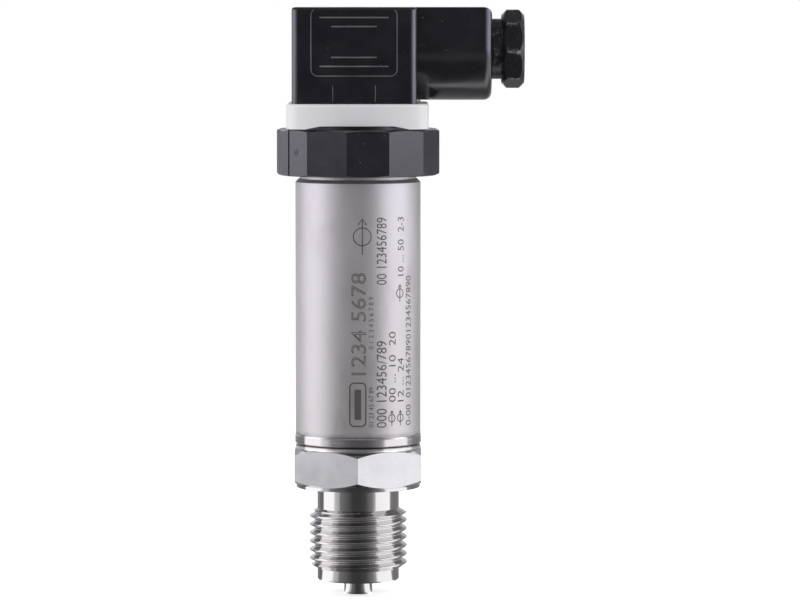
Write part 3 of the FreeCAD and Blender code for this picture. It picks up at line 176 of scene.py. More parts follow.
lower = profile_rows([
    (PRESSURE_BORE_RADIUS, CELL_FLOOR - OIL_CHAMBER_HEIGHT),
    (PRESSURE_BORE_RADIUS, -SPIGOT_LENGTH + EDGE),
    (PRESSURE_BORE_RADIUS + EDGE, -SPIGOT_LENGTH),
    (SPIGOT_RADIUS - NOSE_CHAMFER, -SPIGOT_LENGTH),
    (SPIGOT_RADIUS, -SPIGOT_LENGTH + NOSE_CHAMFER),
    (SPIGOT_RADIUS, -EDGE),
    (SPIGOT_RADIUS + EDGE, 0),
    (PILOT_RADIUS - NOSE_CHAMFER, 0),
    (PILOT_RADIUS, NOSE_CHAMFER),
], angles)
thread_heights = np.linspace(PILOT_TOP, THREAD_TOP, THREAD_ROWS)[:, None] * np.ones_like(angles)
lead_in = PILOT_RADIUS + (thread_heights - PILOT_TOP) * (THREAD_RADIUS - PILOT_RADIUS) / THREAD_LEAD_IN
lead_out = PILOT_RADIUS + (THREAD_TOP - thread_heights) * (THREAD_RADIUS - PILOT_RADIUS) / THREAD_LEAD_IN
thread_surface = np.minimum(thread_radius(angles, thread_heights), np.minimum(lead_in, lead_out))
relief = profile_rows([
    *((PILOT_RADIUS + RELIEF_FILLET * out, WASHER_FACE_BOTTOM - RELIEF_FILLET * down)
      for out, down in FILLET_POINTS),
    (WASHER_FACE_RADIUS - EDGE * 2, WASHER_FACE_BOTTOM),
    (WASHER_FACE_RADIUS - EDGE * 0.6, WASHER_FACE_BOTTOM + EDGE * 0.6),
    (WASHER_FACE_RADIUS, WASHER_FACE_BOTTOM + EDGE * 2),
    (WASHER_FACE_RADIUS, HEXAGON_BOTTOM),
], angles)
flats = hexagon_radius(angles)
lower_rise = (flats - WASHER_FACE_RADIUS) * LOWER_CHAMFER
upper_drop = (flats - HEXAGON_TOP_RADIUS) * UPPER_CHAMFER
hexagon_radii = np.concatenate([flats - EDGE / 3, flats, flats, flats - EDGE / 3])
hexagon_heights = np.concatenate([
    HEXAGON_BOTTOM + lower_rise - EDGE * 0.2,
    HEXAGON_BOTTOM + lower_rise + EDGE / 3,
    HEXAGON_TOP - upper_drop - EDGE / 3,
    HEXAGON_TOP - upper_drop + EDGE * 0.2,
])
upper = profile_rows([
    (HEXAGON_TOP_RADIUS, HEXAGON_TOP),
    (COLLAR_RADIUS + EDGE * 0.2, HEXAGON_TOP + EDGE),
    (COLLAR_RADIUS, HEXAGON_TOP + EDGE * 2),
    (COLLAR_RADIUS, COLLAR_TOP - JOINT_CHAMFER),
    (COLLAR_RADIUS - JOINT_CHAMFER, COLLAR_TOP),
    (WELD_SPIGOT_RADIUS, COLLAR_TOP),
    (WELD_SPIGOT_RADIUS, WELD_SPIGOT_TOP),
    (RING_SEAT_RADIUS, WELD_SPIGOT_TOP),
    (RING_SEAT_RADIUS, CELL_SEAT_TOP),
    (CELL_SEAT_RADIUS, CELL_SEAT_TOP),
    (CELL_SEAT_RADIUS, CELL_FLOOR),
    (OIL_CHAMBER_RADIUS, CELL_FLOOR),
    (OIL_CHAMBER_RADIUS, CELL_FLOOR - OIL_CHAMBER_HEIGHT),
], angles)
radii = np.concatenate([lower[0], thread_surface, relief[0], hexagon_radii, upper[0]])
heights = np.concatenate([lower[1], thread_heights, relief[1], hexagon_heights, upper[1]])
row_count, column_count = radii.shape
connection = mesh_object("process_connection_turned", turned_points(radii, heights, angles),
                         grid_faces(row_count, column_count, rows_close=True), smooth_below=26)


def shader_of(material):
    """The main shader of a material."""
    return material.node_tree.nodes["Principled BSDF"]


def finish(name, colour, roughness, metallic=0.0):
    """A new material with plain values on its shader; detail is linked in afterwards."""
    material = bpy.data.materials.new(name)
    material.use_nodes = True
    inputs = shader_of(material).inputs
    inputs["Base Color"].default_value = (*colour, 1)
    inputs["Roughness"].default_value = roughness
    inputs["Metallic"].default_value = metallic
    return material


def add_node(owner, kind, settings=None, **sockets):
    """A shader node of a material or world. Each socket, named or numbered as _0, gets a plain value or a
    link from another node's output."""
    node = owner.node_tree.nodes.new(kind)
    for setting, value in (settings or {}).items():
        setattr(node, setting, value)
    for socket, value in sockets.items():
        target = node.inputs[int(socket[1:])] if socket[0] == "_" else node.inputs[socket.replace("_", " ")]
        if isinstance(value, bpy.types.NodeSocket):
            owner.node_tree.links.new(value, target)
        else:
            target.default_value = value
    return node


def feed(material, socket, output):
    """Lead a pattern into a socket of the material's shader."""
    material.node_tree.links.new(output, shader_of(material).inputs[socket])


def coordinates(material, scale=(1, 1, 1)):
    """Object coordinates, stretched along each axis."""
    place = add_node(material, "ShaderNodeTexCoord").outputs["Object"]
    return add_node(material, "ShaderNodeMapping", Vector=place, Scale=scale).outputs["Vector"]


def along_axis(material, axis):
    """Where a point lies along one axis."""
    return add_node(material, "ShaderNodeSeparateXYZ", Vector=coordinates(material)).outputs[axis]


def noise(material, scale, detail, stretch=(1, 1, 1), roughness=0.5):
    """A soft random pattern in Object coordinates, drawn out by a stretch along each axis."""
    node = add_node(material, "ShaderNodeTexNoise", Vector=coordinates(material, stretch),
                    Scale=scale, Detail=detail, Roughness=roughness)
    return node.outputs["Fac"]


def calculated(owner, operation, *values):
    """The result of one arithmetic step on plain values or other nodes' outputs."""
    numbered = {f"_{place}": value for place, value in enumerate(values)}
    return add_node(owner, "ShaderNodeMath", {"operation": operation}, **numbered).outputs["Value"]


def ramp(material, value, stops):
    """Colours between stops, each a place from 0 to 1 and a colour, from the lowest place to the highest."""
    node = add_node(material, "ShaderNodeValToRGB", Fac=value)
    elements = node.color_ramp.elements
    for element, (place, colour) in zip(elements, (stops[0], stops[-1])):
        element.position = place
        element.color = (*colour, 1)
    for place, colour in stops[1:-1]:
        elements.new(place).color = (*colour, 1)
    return node.outputs["Color"]


def between(material, value, low, high, low_result, high_result):
    """A value carried from one range to another and held at its ends."""
    node = add_node(material, "ShaderNodeMapRange", Value=value, From_Min=low, From_Max=high,
                    To_Min=low_result, To_Max=high_result)
    return node.outputs["Result"]


def bumped(material, height, distance):
    """Lift the surface by a height pattern."""
    bump = add_node(material, "ShaderNodeBump", Height=height, Strength=BUMP_STRENGTH, Distance=distance)
    feed(material, "Normal", bump.outputs["Normal"])


def natural(name, colour, roughness, metallic=0.0, spread=0.12, grain=2500.0, depth=0.00001,
            stretch=(1, 1, 1)):
    """A material whose colour and roughness drift in soft clouds, with a fine grain pressed into its skin."""
    material = finish(name, colour, roughness, metallic)
    drift = between(material, noise(material, CLOUD_SCALE, detail=5.0), *CLOUD_RANGE, 0, 1)
    dark = tuple(channel * (1 - spread) for channel in colour)
    light = tuple(min(channel * (1 + spread), 1) for channel in colour)
    feed(material, "Base Color", ramp(material, drift, [(0.0, dark), (1.0, light)]))
    feed(material, "Roughness",
         between(material, drift, 0, 1, roughness * (1 - spread), min(roughness * (1 + spread), 1)))
    bumped(material, noise(material, grain, detail=3.0, stretch=stretch), depth)
    return material


turned_steel = finish("turned_stainless", (0.66, 0.65, 0.635), 0.1, metallic=1.0)
stains = noise(turned_steel, scale=260.0, detail=5.0)
feed(turned_steel, "Roughness", between(turned_steel, stains, 0.35, 0.7, 0.06, 0.13))
weld_heat = between(turned_steel, along_axis(turned_steel, "Z"),
                    COLLAR_TOP - HEAT_TINT_WIDTH, COLLAR_TOP, 0, 1)
feed(turned_steel, "Base Color", ramp(turned_steel, weld_heat, [
    (0.0, (0.66, 0.65, 0.64)), (0.35, (0.5, 0.47, 0.44)), (0.7, (0.1, 0.088, 0.078))]))
rings = noise(turned_steel, scale=1.0, detail=3.0, stretch=TURNING_STRETCH, roughness=0.7)
bumped(turned_steel, rings, distance=0.0000012)

milled_steel = natural("milled_stainless", (0.645, 0.645, 0.65), 0.23, metallic=1.0, spread=0.07, grain=1.0,
                       depth=0.00002, stretch=MILLING_STRETCH)
connection.data.materials.append(turned_steel)
connection.data.materials.append(milled_steel)
first_flat_row = len(lower[0]) + len(thread_heights) + len(relief[0])
on_flats = np.zeros((row_count, column_count), dtype=np.int32)
on_flats[first_flat_row:first_flat_row + FLAT_ROWS] = 1
connection.data.polygons.foreach_set("material_index", on_flats.ravel())
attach(connection, "case")
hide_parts("process_connection")

# Case tube
# Stainless tube, turned and bead blasted, with a bright ring at its foot and a threaded neck at its top.
# It is pushed over the process connection's spigot and welded round its foot.
FOOT_RING_TOP = 0.0315
BLAST_START = FOOT_RING_TOP - 0.00005
BLAST_FULL = FOOT_RING_TOP + 0.0005
RING_SHADE_TOP = FOOT_RING_TOP + 0.0012
RING_LIGHT = (0.65, 0)
ABOVE_RING_PAINTED_SHADE = (0.1, 0.5)
TURNED_ROUGHNESS = 0.11
BLASTED_ROUGHNESS = (0.42, 0.5)
BLASTED_METALLIC = 0.82


def dress(material, *nodes):
    """Give carried-over pieces their material."""
    for node in nodes:
        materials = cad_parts[node].data.materials
        materials.clear()
        materials.append(material)


blasted_steel = finish("blasted_stainless", (0.6, 0.585, 0.58), 0.46, metallic=BLASTED_METALLIC)
height = along_axis(blasted_steel, "Z")
blasted = between(blasted_steel, height, BLAST_START, BLAST_FULL, 0, 1)
feed(blasted_steel, "Metallic", between(blasted_steel, blasted, 0, 1, 1.0, BLASTED_METALLIC))
cloud = noise(blasted_steel, scale=150.0, detail=4.0, stretch=(1, 1, 0.4))
soft = between(blasted_steel, cloud, *CLOUD_RANGE, *BLASTED_ROUGHNESS)
rough = add_node(blasted_steel, "ShaderNodeMix", Factor=blasted, A=TURNED_ROUGHNESS, B=soft)
feed(blasted_steel, "Roughness", rough.outputs["Result"])
# Painted shade: the blasted tube's colour is darkened in a narrow band just above the foot ring, while the
# polished ring keeps its paler tone.
on_ring = between(blasted_steel, height, BLAST_START, FOOT_RING_TOP, *RING_LIGHT)
shade_above_ring = between(blasted_steel, height, FOOT_RING_TOP, RING_SHADE_TOP, *ABOVE_RING_PAINTED_SHADE)
lit = calculated(blasted_steel, "MAXIMUM", on_ring, shade_above_ring)
painted_shade = calculated(blasted_steel, "SUBTRACT", lit, 0.5)
feed(blasted_steel, "Base Color", ramp(blasted_steel, calculated(blasted_steel, "ADD", painted_shade, cloud), [
    (0.05, (0.36, 0.34, 0.335)), (0.4, (0.585, 0.565, 0.565)), (0.6, (0.62, 0.605, 0.605))]))
turning = noise(blasted_steel, scale=1.0, detail=3.0, stretch=TURNING_STRETCH)
grain = noise(blasted_steel, scale=4200.0, detail=2.0)
skin = add_node(blasted_steel, "ShaderNodeMix", Factor=blasted, A=turning, B=grain)
bumped(blasted_steel, skin.outputs["Result"], distance=0.000015)
dress(blasted_steel, "case_tube")

# Case markings
# Plain numbers, signal signs and a bare field, read from the foot of the tube upwards.
# They are a thin brown-grey film that the laser's heat leaves on the steel.
MARK_RADIUS = 0.01341
MARK_STRIP = 0.0003
SIGN_STROKE = 0.00022
FIELD_FOOT = 0.0342
FIELD_DEGREES = 7.5
FIELD_LENGTH = 0.0092
FIELD_HEIGHT = 0.0034
FIELD_CORNER = 0.0009
FIELD_STROKE = 0.000286
FIELD_BAR = ((0.0014, 0.0017), (0.0078, 0.0017))
FIELD_BAR_HEIGHT = 0.0014
OUTLINE_EMS = 0.034
OUTLINE_LIFT = 0.000006
SIGN_RING_STEPS = 28
SIGN_RING_RADIUS = 0.42
SIGN_ARROW = (((-0.35, 0.5), (1.3, 0.5)), ((1.05, 0.3), (1.35, 0.5), (1.05, 0.7)))
# The large numbers, then each row's words, foot, head, digit height and degrees round the tube.
LARGE_NUMBERS = ("1234 5678", 0.0451, 0.0668, 0.0031, 7.5)
NUMBER_ROWS = (
    ("01 23 45 67 89", 0.0340, 0.0425, 0.00105, 14.7),
    ("0 1 2 3 4 5 6 7 8 9", 0.0506, 0.0617, 0.00105, 14.7),
    ("000 123456/789", 0.0338, 0.0523, 0.0023, 27.3),
    ("00 123456789", 0.0642, 0.0785, 0.0023, 27.3),
    ("00 ... 10  20", 0.0392, 0.0542, 0.0017, 37.0),
    ("12 ... 24", 0.0392, 0.0485, 0.0017, 46.7),
    ("10 ... 50  2-3", 0.0660, 0.0785, 0.0017, 46.7),
    ("0-00  012345678901234567890", 0.0340, 0.0659, 0.0017, 57.0),
)
# Each signal sign's foot, degrees round the tube and size.
SIGNAL_SIGNS = (
    (0.0348, 37.0, 0.0019),
    (0.0348, 46.7, 0.0019),
    (0.0612, 46.7, 0.0022),
    (0.0722, 14.0, 0.0045),
)


def flat_glyphs(words, thinner=0.0):
    """The filled outlines of plain numbers as a flat mesh, drawn in by a distance in ems."""
    curve = bpy.data.curves.new("glyphs", "FONT")
    curve.body = words
    curve.resolution_u = 3
    curve.offset = -thinner
    holder = bpy.data.objects.new("glyphs", curve)
    mesh = bpy.data.meshes.new_from_object(holder)
    bpy.data.objects.remove(holder)
    bpy.data.curves.remove(curve)
    return mesh


def flat_stroke(path, width, closed=False):
    """A ribbon of one width along a flat path: each point is set off to both sides along its normal."""
    path = np.array(path, dtype=float)
    ahead = np.roll(path, -1, axis=0) - path
    behind = path - np.roll(path, 1, axis=0)
    if not closed:
        ahead[-1] = behind[-1]
        behind[0] = ahead[0]
    along = ahead + behind
    along /= np.linalg.norm(along, axis=1)[:, None]
    side = np.stack([-along[:, 1], along[:, 0]], axis=1) * width / 2
    points = np.concatenate([path - side, path + side])
    count = len(path)
    first = np.arange(count if closed else count - 1)
    second = (first + 1) % count
    quads = np.stack([first, second, second + count, first + count], axis=-1)
    mesh = bpy.data.meshes.new("stroke")
    mesh.from_pydata(np.column_stack([points, np.zeros(len(points))]).tolist(), [], quads.tolist())
    return mesh


def measured(mesh):
    """A mesh's points as an array."""
    points = np.empty(len(mesh.vertices) * 3)
    mesh.vertices.foreach_get("co", points)
    return points.reshape(-1, 3)


def burn(film, mesh, start, base_degrees, size=(1, 1), layer=0, lift=0.0):
    """Lay a flat mesh on the tube: across runs up from a start height, and up runs round to the left.

    The point at (a, b) goes to the angle base - b / radius about the tube's axis and to the height start + a,
    after the mesh is cut into strips narrow enough to follow the curve."""
    cuts = np.arange(-SIGN_STROKE * 2, measured(mesh)[:, 1].max() * size[1], MARK_STRIP)
    work = bmesh.new()
    work.from_mesh(mesh)
    bmesh.ops.scale(work, vec=(*size, 1), verts=work.verts)
    for cut in cuts:
        bmesh.ops.bisect_plane(work, geom=work.verts[:] + work.edges[:] + work.faces[:],
                               plane_co=(0, cut, 0), plane_no=(0, 1, 0))
    work.to_mesh(mesh)
    work.free()
    points = measured(mesh)
    turn = math.radians(base_degrees) - points[:, 1] / MARK_RADIUS
    radius = MARK_RADIUS + lift
    wrapped = np.stack([radius * np.sin(turn), -radius * np.cos(turn), start + points[:, 0]], axis=-1)
    mesh.vertices.foreach_set("co", wrapped.ravel())
    mesh.polygons.foreach_set("material_index", np.full(len(mesh.polygons), layer, dtype=np.int32))
    film.from_mesh(mesh)
    bpy.data.meshes.remove(mesh)


def burn_numbers(film, words, start, end, height, base_degrees, outlined=False):
    """Plain numbers fitted between two heights on the tube; outlined ones are bare steel in the middle."""
    mesh = flat_glyphs(words)
    points = measured(mesh)
    low, high = points.min(axis=0), points.max(axis=0)
    size = ((end - start) / (high[0] - low[0]), height / (high[1] - low[1]))
    origin = start - low[0] * size[0]
    burn(film, mesh, origin, base_degrees, size)
    if outlined:
        burn(film, flat_glyphs(words, OUTLINE_EMS), origin, base_degrees, size, layer=1, lift=OUTLINE_LIFT)


def rounded_path(across, up, corner, steps=6):
    """The edge of a rounded rectangle from (0, 0): a quarter circle about each of its corner centres."""
    turn = np.linspace(0, math.pi / 2, steps)
    centres = ((across - corner, up - corner), (corner, up - corner),
               (corner, corner), (across - corner, corner))
    return np.concatenate([np.stack([centre[0] + corner * np.cos(turn + quarter * math.pi / 2),
                                     centre[1] + corner * np.sin(turn + quarter * math.pi / 2)], axis=-1)
                           for quarter, centre in enumerate(centres)])


def burn_signal_sign(film, start, base_degrees, size):
    """The sign of a signal: a ring with an arrow through it."""
    turn = np.arange(SIGN_RING_STEPS) * 2 * math.pi / SIGN_RING_STEPS
    ring = (0.5 + SIGN_RING_RADIUS * np.stack([np.cos(turn), np.sin(turn)], axis=-1)) * size
    burn(film, flat_stroke(ring, SIGN_STROKE, closed=True), start, base_degrees)
    for line in SIGN_ARROW:
        burn(film, flat_stroke(np.array(line) * size, SIGN_STROKE), start, base_degrees)


film = bmesh.new()
field_edge = rounded_path(FIELD_LENGTH, FIELD_HEIGHT, FIELD_CORNER)
burn(film, flat_stroke(field_edge, FIELD_STROKE, closed=True), FIELD_FOOT, FIELD_DEGREES)
burn(film, flat_stroke(FIELD_BAR, FIELD_BAR_HEIGHT), FIELD_FOOT, FIELD_DEGREES)
burn_numbers(film, *LARGE_NUMBERS, outlined=True)
for number_row in NUMBER_ROWS:
    burn_numbers(film, *number_row)
for signal_sign in SIGNAL_SIGNS:
    burn_signal_sign(film, *signal_sign)
film_mesh = bpy.data.meshes.new("case_markings")
film.to_mesh(film_mesh)
film.free()
markings = bpy.data.objects.new("case_markings", film_mesh)
bpy.context.scene.collection.objects.link(markings)
burnt_film = natural("burnt_film", (0.125, 0.11, 0.102), 0.45, metallic=0.5, spread=0.3, grain=4000.0)
markings.data.materials.append(burnt_film)
markings.data.materials.append(blasted_steel)
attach(markings, "case")

# Measuring cell
# Steel capsule with a corrugated diaphragm below, a silicon chip in its oil and gold pins through its top.
# A rubber ring seals it in the process connection, and a screwed ring with two spanner holes holds it there.
SMALL_TURNING_STRETCH = (60, 60, 9000)

cell_steel = natural("cell_steel", (0.64, 0.63, 0.615), 0.26, metallic=1.0, spread=0.08, grain=1.0,
                     stretch=SMALL_TURNING_STRETCH)
dress(cell_steel, "measuring_cell", "isolating_diaphragm", "cell_locking_ring")

silicon = natural("silicon", (0.15, 0.16, 0.2), 0.14, metallic=0.6, spread=0.15, grain=1200.0, depth=0.000003)
dress(silicon, "sensor_chip")

gold = natural("gold_plate", (0.9, 0.66, 0.28), 0.24, metallic=1.0, spread=0.08, grain=3000.0, depth=0.000005)
dress(gold, "header_pins")

rubber = natural("black_rubber", (0.02, 0.02, 0.021), 0.58, spread=0.3, depth=0.00002)
dress(rubber, "cell_o_ring", "base_o_ring", "gland_seal", "screw_seal_ring")

# Electronics
# Glass-fibre board standing on edge between two moulded carriers, with its amplifier, capacitors and leads.
# The leads to the head are held in the upper carrier, and their slack is kept in a welded copy of their mesh.
SAME_POINT = 0.000001

carrier_plastic = natural("natural_plastic", (0.74, 0.71, 0.61), 0.45, spread=0.06, grain=1500.0)
dress(carrier_plastic, "board_carrier_lower", "board_carrier_upper")

solder_mask = natural("solder_mask", (0.018, 0.15, 0.055), 0.28, spread=0.25, grain=900.0, depth=0.000015)
dress(solder_mask, "circuit_board")

chip_case = natural("chip_case", (0.03, 0.03, 0.032), 0.5, spread=0.2, grain=5000.0)
dress(chip_case, "amplifier_chip")

capacitor_case = natural("capacitor_case", (0.5, 0.33, 0.14), 0.38, spread=0.15, grain=3500.0)
dress(capacitor_case, "board_capacitors")

insulation = natural("lead_insulation", (0.5, 0.03, 0.02), 0.42)
dress(insulation, "cell_leads", "head_leads")

slack = bmesh.new()
slack.from_mesh(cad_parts["head_leads"].data)
bmesh.ops.remove_doubles(slack, verts=slack.verts, dist=SAME_POINT)
slack_mesh = bpy.data.meshes.new("head_leads_slack")
slack.to_mesh(slack_mesh)
slack.free()
slack_mesh.materials.append(insulation)
slack_leads = bpy.data.objects.new("head_leads_slack", slack_mesh)
bpy.context.scene.collection.objects.link(slack_leads)
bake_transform(slack_leads)
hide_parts("head_leads")

# Connector base and its contacts
# Glass-filled black moulding that stands in the case's neck, with a brass insert in it for the plug's screw.
# Its four flat blades and the folded sockets in the plug are stamped from tinned strip.
ROLLING_STRETCH = (6000, 6000, 90)

base_plastic = natural("glass_filled_plastic", (0.02, 0.02, 0.023), 0.45, spread=0.25, grain=1500.0,
                       depth=0.00002, stretch=(1, 1, 0.25))
dress(base_plastic, "connector_base", "contact_insert", "gland_washer")

tin = natural("tin_plate", (0.76, 0.75, 0.72), 0.27, metallic=1.0, spread=0.1, grain=1.0, depth=0.000006,
              stretch=ROLLING_STRETCH)
dress(tin, "contact_blade_1", "contact_blade_2", "contact_blade_3", "earth_blade",
      "socket_contact_1", "socket_contact_2", "socket_contact_3", "earth_socket")

brass = natural("turned_brass", (0.78, 0.58, 0.26), 0.24, metallic=1.0, spread=0.1, grain=1.0, depth=0.000008,
                stretch=SMALL_TURNING_STRETCH)
dress(brass, "base_thread_insert")

# Union nut
# Twelve-sided nut moulded in black plastic that clamps the connector base on the case.
# The tool has left a small raised ring on one facet.
NUT_FACET = math.radians(-142.4)
NUT_FACET_RADIUS = 0.01696
NUT_MARK_SHIFT = 0.00075
NUT_MARK_HEIGHT = 0.0922
NUT_MARK_RADIUS = 0.0005
NUT_MARK_CORD = 0.0002
NUT_MARK_STEPS = 24
NUT_CORD_STEPS = 8
SPECK_RANGE = (0.835, 0.87)


def dusted(material, grain, pale):
    """Scatter pale specks over a material: they lie where a smooth fine noise comes near its top."""
    share = between(material, noise(material, grain, detail=0.0), *SPECK_RANGE, 0, 1)
    tone = shader_of(material).inputs["Base Color"].links[0].from_socket
    mix = add_node(material, "ShaderNodeMix", {"data_type": "RGBA"}, Factor=share, _6=tone, _7=(*pale, 1))
    feed(material, "Base Color", mix.outputs[2])


nut_plastic = natural("satin_black_plastic", (0.008, 0.0077, 0.0105), 0.24, spread=0.2, grain=1400.0,
                      depth=0.000012)
shader_of(nut_plastic).inputs["Specular IOR Level"].default_value = 0.8
dusted(nut_plastic, grain=1500.0, pale=(0.05, 0.05, 0.055))
dress(nut_plastic, "union_nut")

turn = np.linspace(0, 2 * math.pi, NUT_MARK_STEPS, endpoint=False)[:, None]
around = np.linspace(0, 2 * math.pi, NUT_CORD_STEPS, endpoint=False)[None, :]
reach = NUT_MARK_RADIUS + NUT_MARK_CORD * np.cos(around)
along = NUT_MARK_SHIFT + reach * np.cos(turn)
out = NUT_FACET_RADIUS + NUT_MARK_CORD * 0.5 * np.sin(around) + 0 * turn
points = np.stack([out * math.cos(NUT_FACET) - along * math.sin(NUT_FACET),
                   out * math.sin(NUT_FACET) + along * math.cos(NUT_FACET),
                   NUT_MARK_HEIGHT + reach * np.sin(turn)], axis=-1)
mark_faces = np.array(grid_faces(NUT_MARK_STEPS, NUT_CORD_STEPS, rows_close=True))[:, ::-1].tolist()
nut_mark = mesh_object("nut_mould_ring", points, mark_faces, smooth_below=60)
nut_mark.data.materials.append(nut_plastic)
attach(nut_mark, "union_nut")

# Profile gasket
# White moulded elastomer, a rounded square whose corners hang over the nut's collar.
# Light that enters it scatters, and its colour is painted paler toward its sides as painted light from the
# side lamps.
GASKET_SHADE = (0.003, 0.0148)

gasket_rubber = natural("white_elastomer", (0.6, 0.6, 0.625), 0.46, spread=0.03, grain=1200.0, depth=0.00002)
# Painted light: the base colour grows paler away from the middle, where the side lamps fall more strongly.
off_middle = calculated(gasket_rubber, "ABSOLUTE", along_axis(gasket_rubber, "X"))
painted_side_light = between(gasket_rubber, off_middle, *GASKET_SHADE, 0, 1)
feed(gasket_rubber, "Base Color", ramp(gasket_rubber, painted_side_light, [
    (0.0, (0.6, 0.6, 0.625)), (0.55, (0.65, 0.65, 0.67)),
    (0.8, (0.69, 0.69, 0.705)), (1.0, (0.82, 0.82, 0.83))]))
gasket_inputs = shader_of(gasket_rubber).inputs
gasket_inputs["Subsurface Weight"].default_value = 0.35
gasket_inputs["Subsurface Radius"].default_value = (0.0016, 0.0015, 0.0014)
gasket_inputs["Subsurface Scale"].default_value = 1.0
dress(gasket_rubber, "profile_gasket")

# Plug housing
# Black polyamide moulding with a smooth semi-gloss skin: a box over the contacts and a barrel for the gland.
# The rounded edges of its panel, bars and small field are cords in a paler colour: a painted highlight where
# they catch the light.
PANEL_CENTRE = -0.0007
PANEL_HALF_WIDTH = 0.0091
PANEL_TOP = 0.1226
PANEL_BOTTOM = 0.1084
PANEL_CORNER = 0.0014
BAR_MIDDLE = 0.1156
BARS = ((0.0074, 0.00515), (0.0049, 0.00325))
LABEL_HALF_WIDTH = 0.0045
LABEL_BOTTOM = 0.1029
LABEL_TOP = 0.1065
PLUG_FACE = -0.0135
LIP_RADIUS = 0.0001
LIP_SINK = 0.00007
LABEL_LIP_RADIUS = 0.00007
LABEL_LIP_SINK = 0.00005
BAR_RADIUS = 0.0002
BAR_SINK = 0.00036
BEAD_STEPS = 8
BEAD_TIP = 0.01
ARC_STEPS = 7

plug_plastic = natural("semi_gloss_black_plastic", (0.006, 0.006, 0.0085), 0.22, spread=0.2, grain=800.0)
shader_of(plug_plastic).inputs["Specular IOR Level"].default_value = 1.0
dusted(plug_plastic, grain=1700.0, pale=(0.06, 0.06, 0.065))
dress(plug_plastic, "plug_housing")


def bead(path, radius, sink):
    """A round cord along a path on the plug's front, sunk into its face: at each point a circle of points
    stands across the path, and it shrinks to a point at both ends."""
    along = np.gradient(path, axis=0)
    along /= np.linalg.norm(along, axis=1)[:, None]
    turn = np.arange(BEAD_STEPS) * 2 * math.pi / BEAD_STEPS
    size = np.full(len(path), radius)
    size[[0, -1]] = radius * BEAD_TIP
    reach = size[:, None] * np.cos(turn)
    corners = np.stack([path[:, :1] - along[:, 1:] * reach, PLUG_FACE + sink - size[:, None] * np.sin(turn),
                        path[:, 1:] + along[:, :1] * reach], axis=-1)
    return corners.reshape(-1, 3), np.array(grid_faces(len(path), BEAD_STEPS))


def panel_arc(centre, first, last):
    """Points on the panel's corner circle between two angles in degrees, measured from X toward Z."""
    turn = np.radians(np.linspace(first, last, ARC_STEPS))
    return np.array(centre) + PANEL_CORNER * np.stack([np.cos(turn), np.sin(turn)], axis=-1)


def straight(start, end):
    """A straight path whose last tenth of a millimetre at each end is its rounded tip."""
    start, end = np.array(start), np.array(end)
    step = (end - start) / np.linalg.norm(end - start) * LIP_RADIUS
    return np.array([start, start + step, (start + end) / 2, end - step, end])


left, right = PANEL_CENTRE - PANEL_HALF_WIDTH + PANEL_CORNER, PANEL_CENTRE + PANEL_HALF_WIDTH - PANEL_CORNER
top, bottom = PANEL_TOP - PANEL_CORNER, PANEL_BOTTOM + PANEL_CORNER
panel_edge = np.concatenate([panel_arc((left, top), 115, 180), panel_arc((left, bottom), 180, 270),
                             panel_arc((right, bottom), 270, 360), panel_arc((right, top), 0, 65)])
cords = [bead(panel_edge, LIP_RADIUS, LIP_SINK)]
for side in (-1, 1):
    edge = PANEL_CENTRE + side * LABEL_HALF_WIDTH
    cords.append(bead(straight((edge, LABEL_BOTTOM), (edge, LABEL_TOP)), LABEL_LIP_RADIUS, LABEL_LIP_SINK))
    for half_length, rise in BARS:
        level = BAR_MIDDLE + side * rise
        bar = straight((PANEL_CENTRE - half_length, level), (PANEL_CENTRE + half_length, level))
        cords.append(bead(bar, BAR_RADIUS, BAR_SINK))
first_points = np.cumsum([0] + [len(points) for points, faces in cords])
relief_points = np.concatenate([points for points, faces in cords])
relief_faces = np.concatenate([faces + first for (points, faces), first in zip(cords, first_points)])
relief_lines = mesh_object("plug_relief_lines", relief_points, relief_faces.tolist(), smooth_below=60)
# Painted highlight: the cords are coloured far paler than the plug, so its edges show as lit lines.
painted_highlight_edges = natural("painted_highlight_plastic_edges", (0.11, 0.11, 0.118), 0.4, spread=0.4, grain=1800.0)
relief_lines.data.materials.append(painted_highlight_edges)
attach(relief_lines, "plug")

# Gland screw
# Moulded pressing screw with an eight-sided head, rubbed pale along its corners and dusty between them.
# Its neck stays clean inside the barrel.
GLAND_AXIS_HEIGHT = 0.114
GLAND_HEAD_MIDDLE = 0.033075
GLAND_HEAD_HALF_LENGTH = 0.002425
GLAND_FLAT_RADIUS = 0.00776
GLAND_CORNER_RADIUS = 0.0084
GLAND_WORN_RADIUS = GLAND_FLAT_RADIUS + 0.0003
GLAND_PALE_RIM = 0.0004
GLAND_NECK_RADII = (GLAND_FLAT_RADIUS - 0.0008, GLAND_FLAT_RADIUS - 0.0002)
CORNER_WEAR = 0.5
RIM_WEAR_AND_HIGHLIGHT = 0.45
EDGE_SHARE = 0.5
NECK_WEAR = -0.12

gland_plastic = finish("scuffed_black_plastic", (0.013, 0.013, 0.015), 0.4)
centred = add_node(gland_plastic, "ShaderNodeMapping", Vector=coordinates(gland_plastic),
                   Location=(-GLAND_HEAD_MIDDLE, 0, -GLAND_AXIS_HEIGHT)).outputs["Vector"]
across = add_node(gland_plastic, "ShaderNodeVectorMath", {"operation": "MULTIPLY"}, _0=centred, _1=(0, 1, 1))
reach = add_node(gland_plastic, "ShaderNodeVectorMath", {"operation": "LENGTH"},
                 _0=across.outputs["Vector"]).outputs["Value"]
lengthwise = add_node(gland_plastic, "ShaderNodeSeparateXYZ", Vector=centred).outputs["X"]
along = calculated(gland_plastic, "ABSOLUTE", lengthwise)
corner = between(gland_plastic, reach, GLAND_WORN_RADIUS, GLAND_CORNER_RADIUS, 0, CORNER_WEAR)
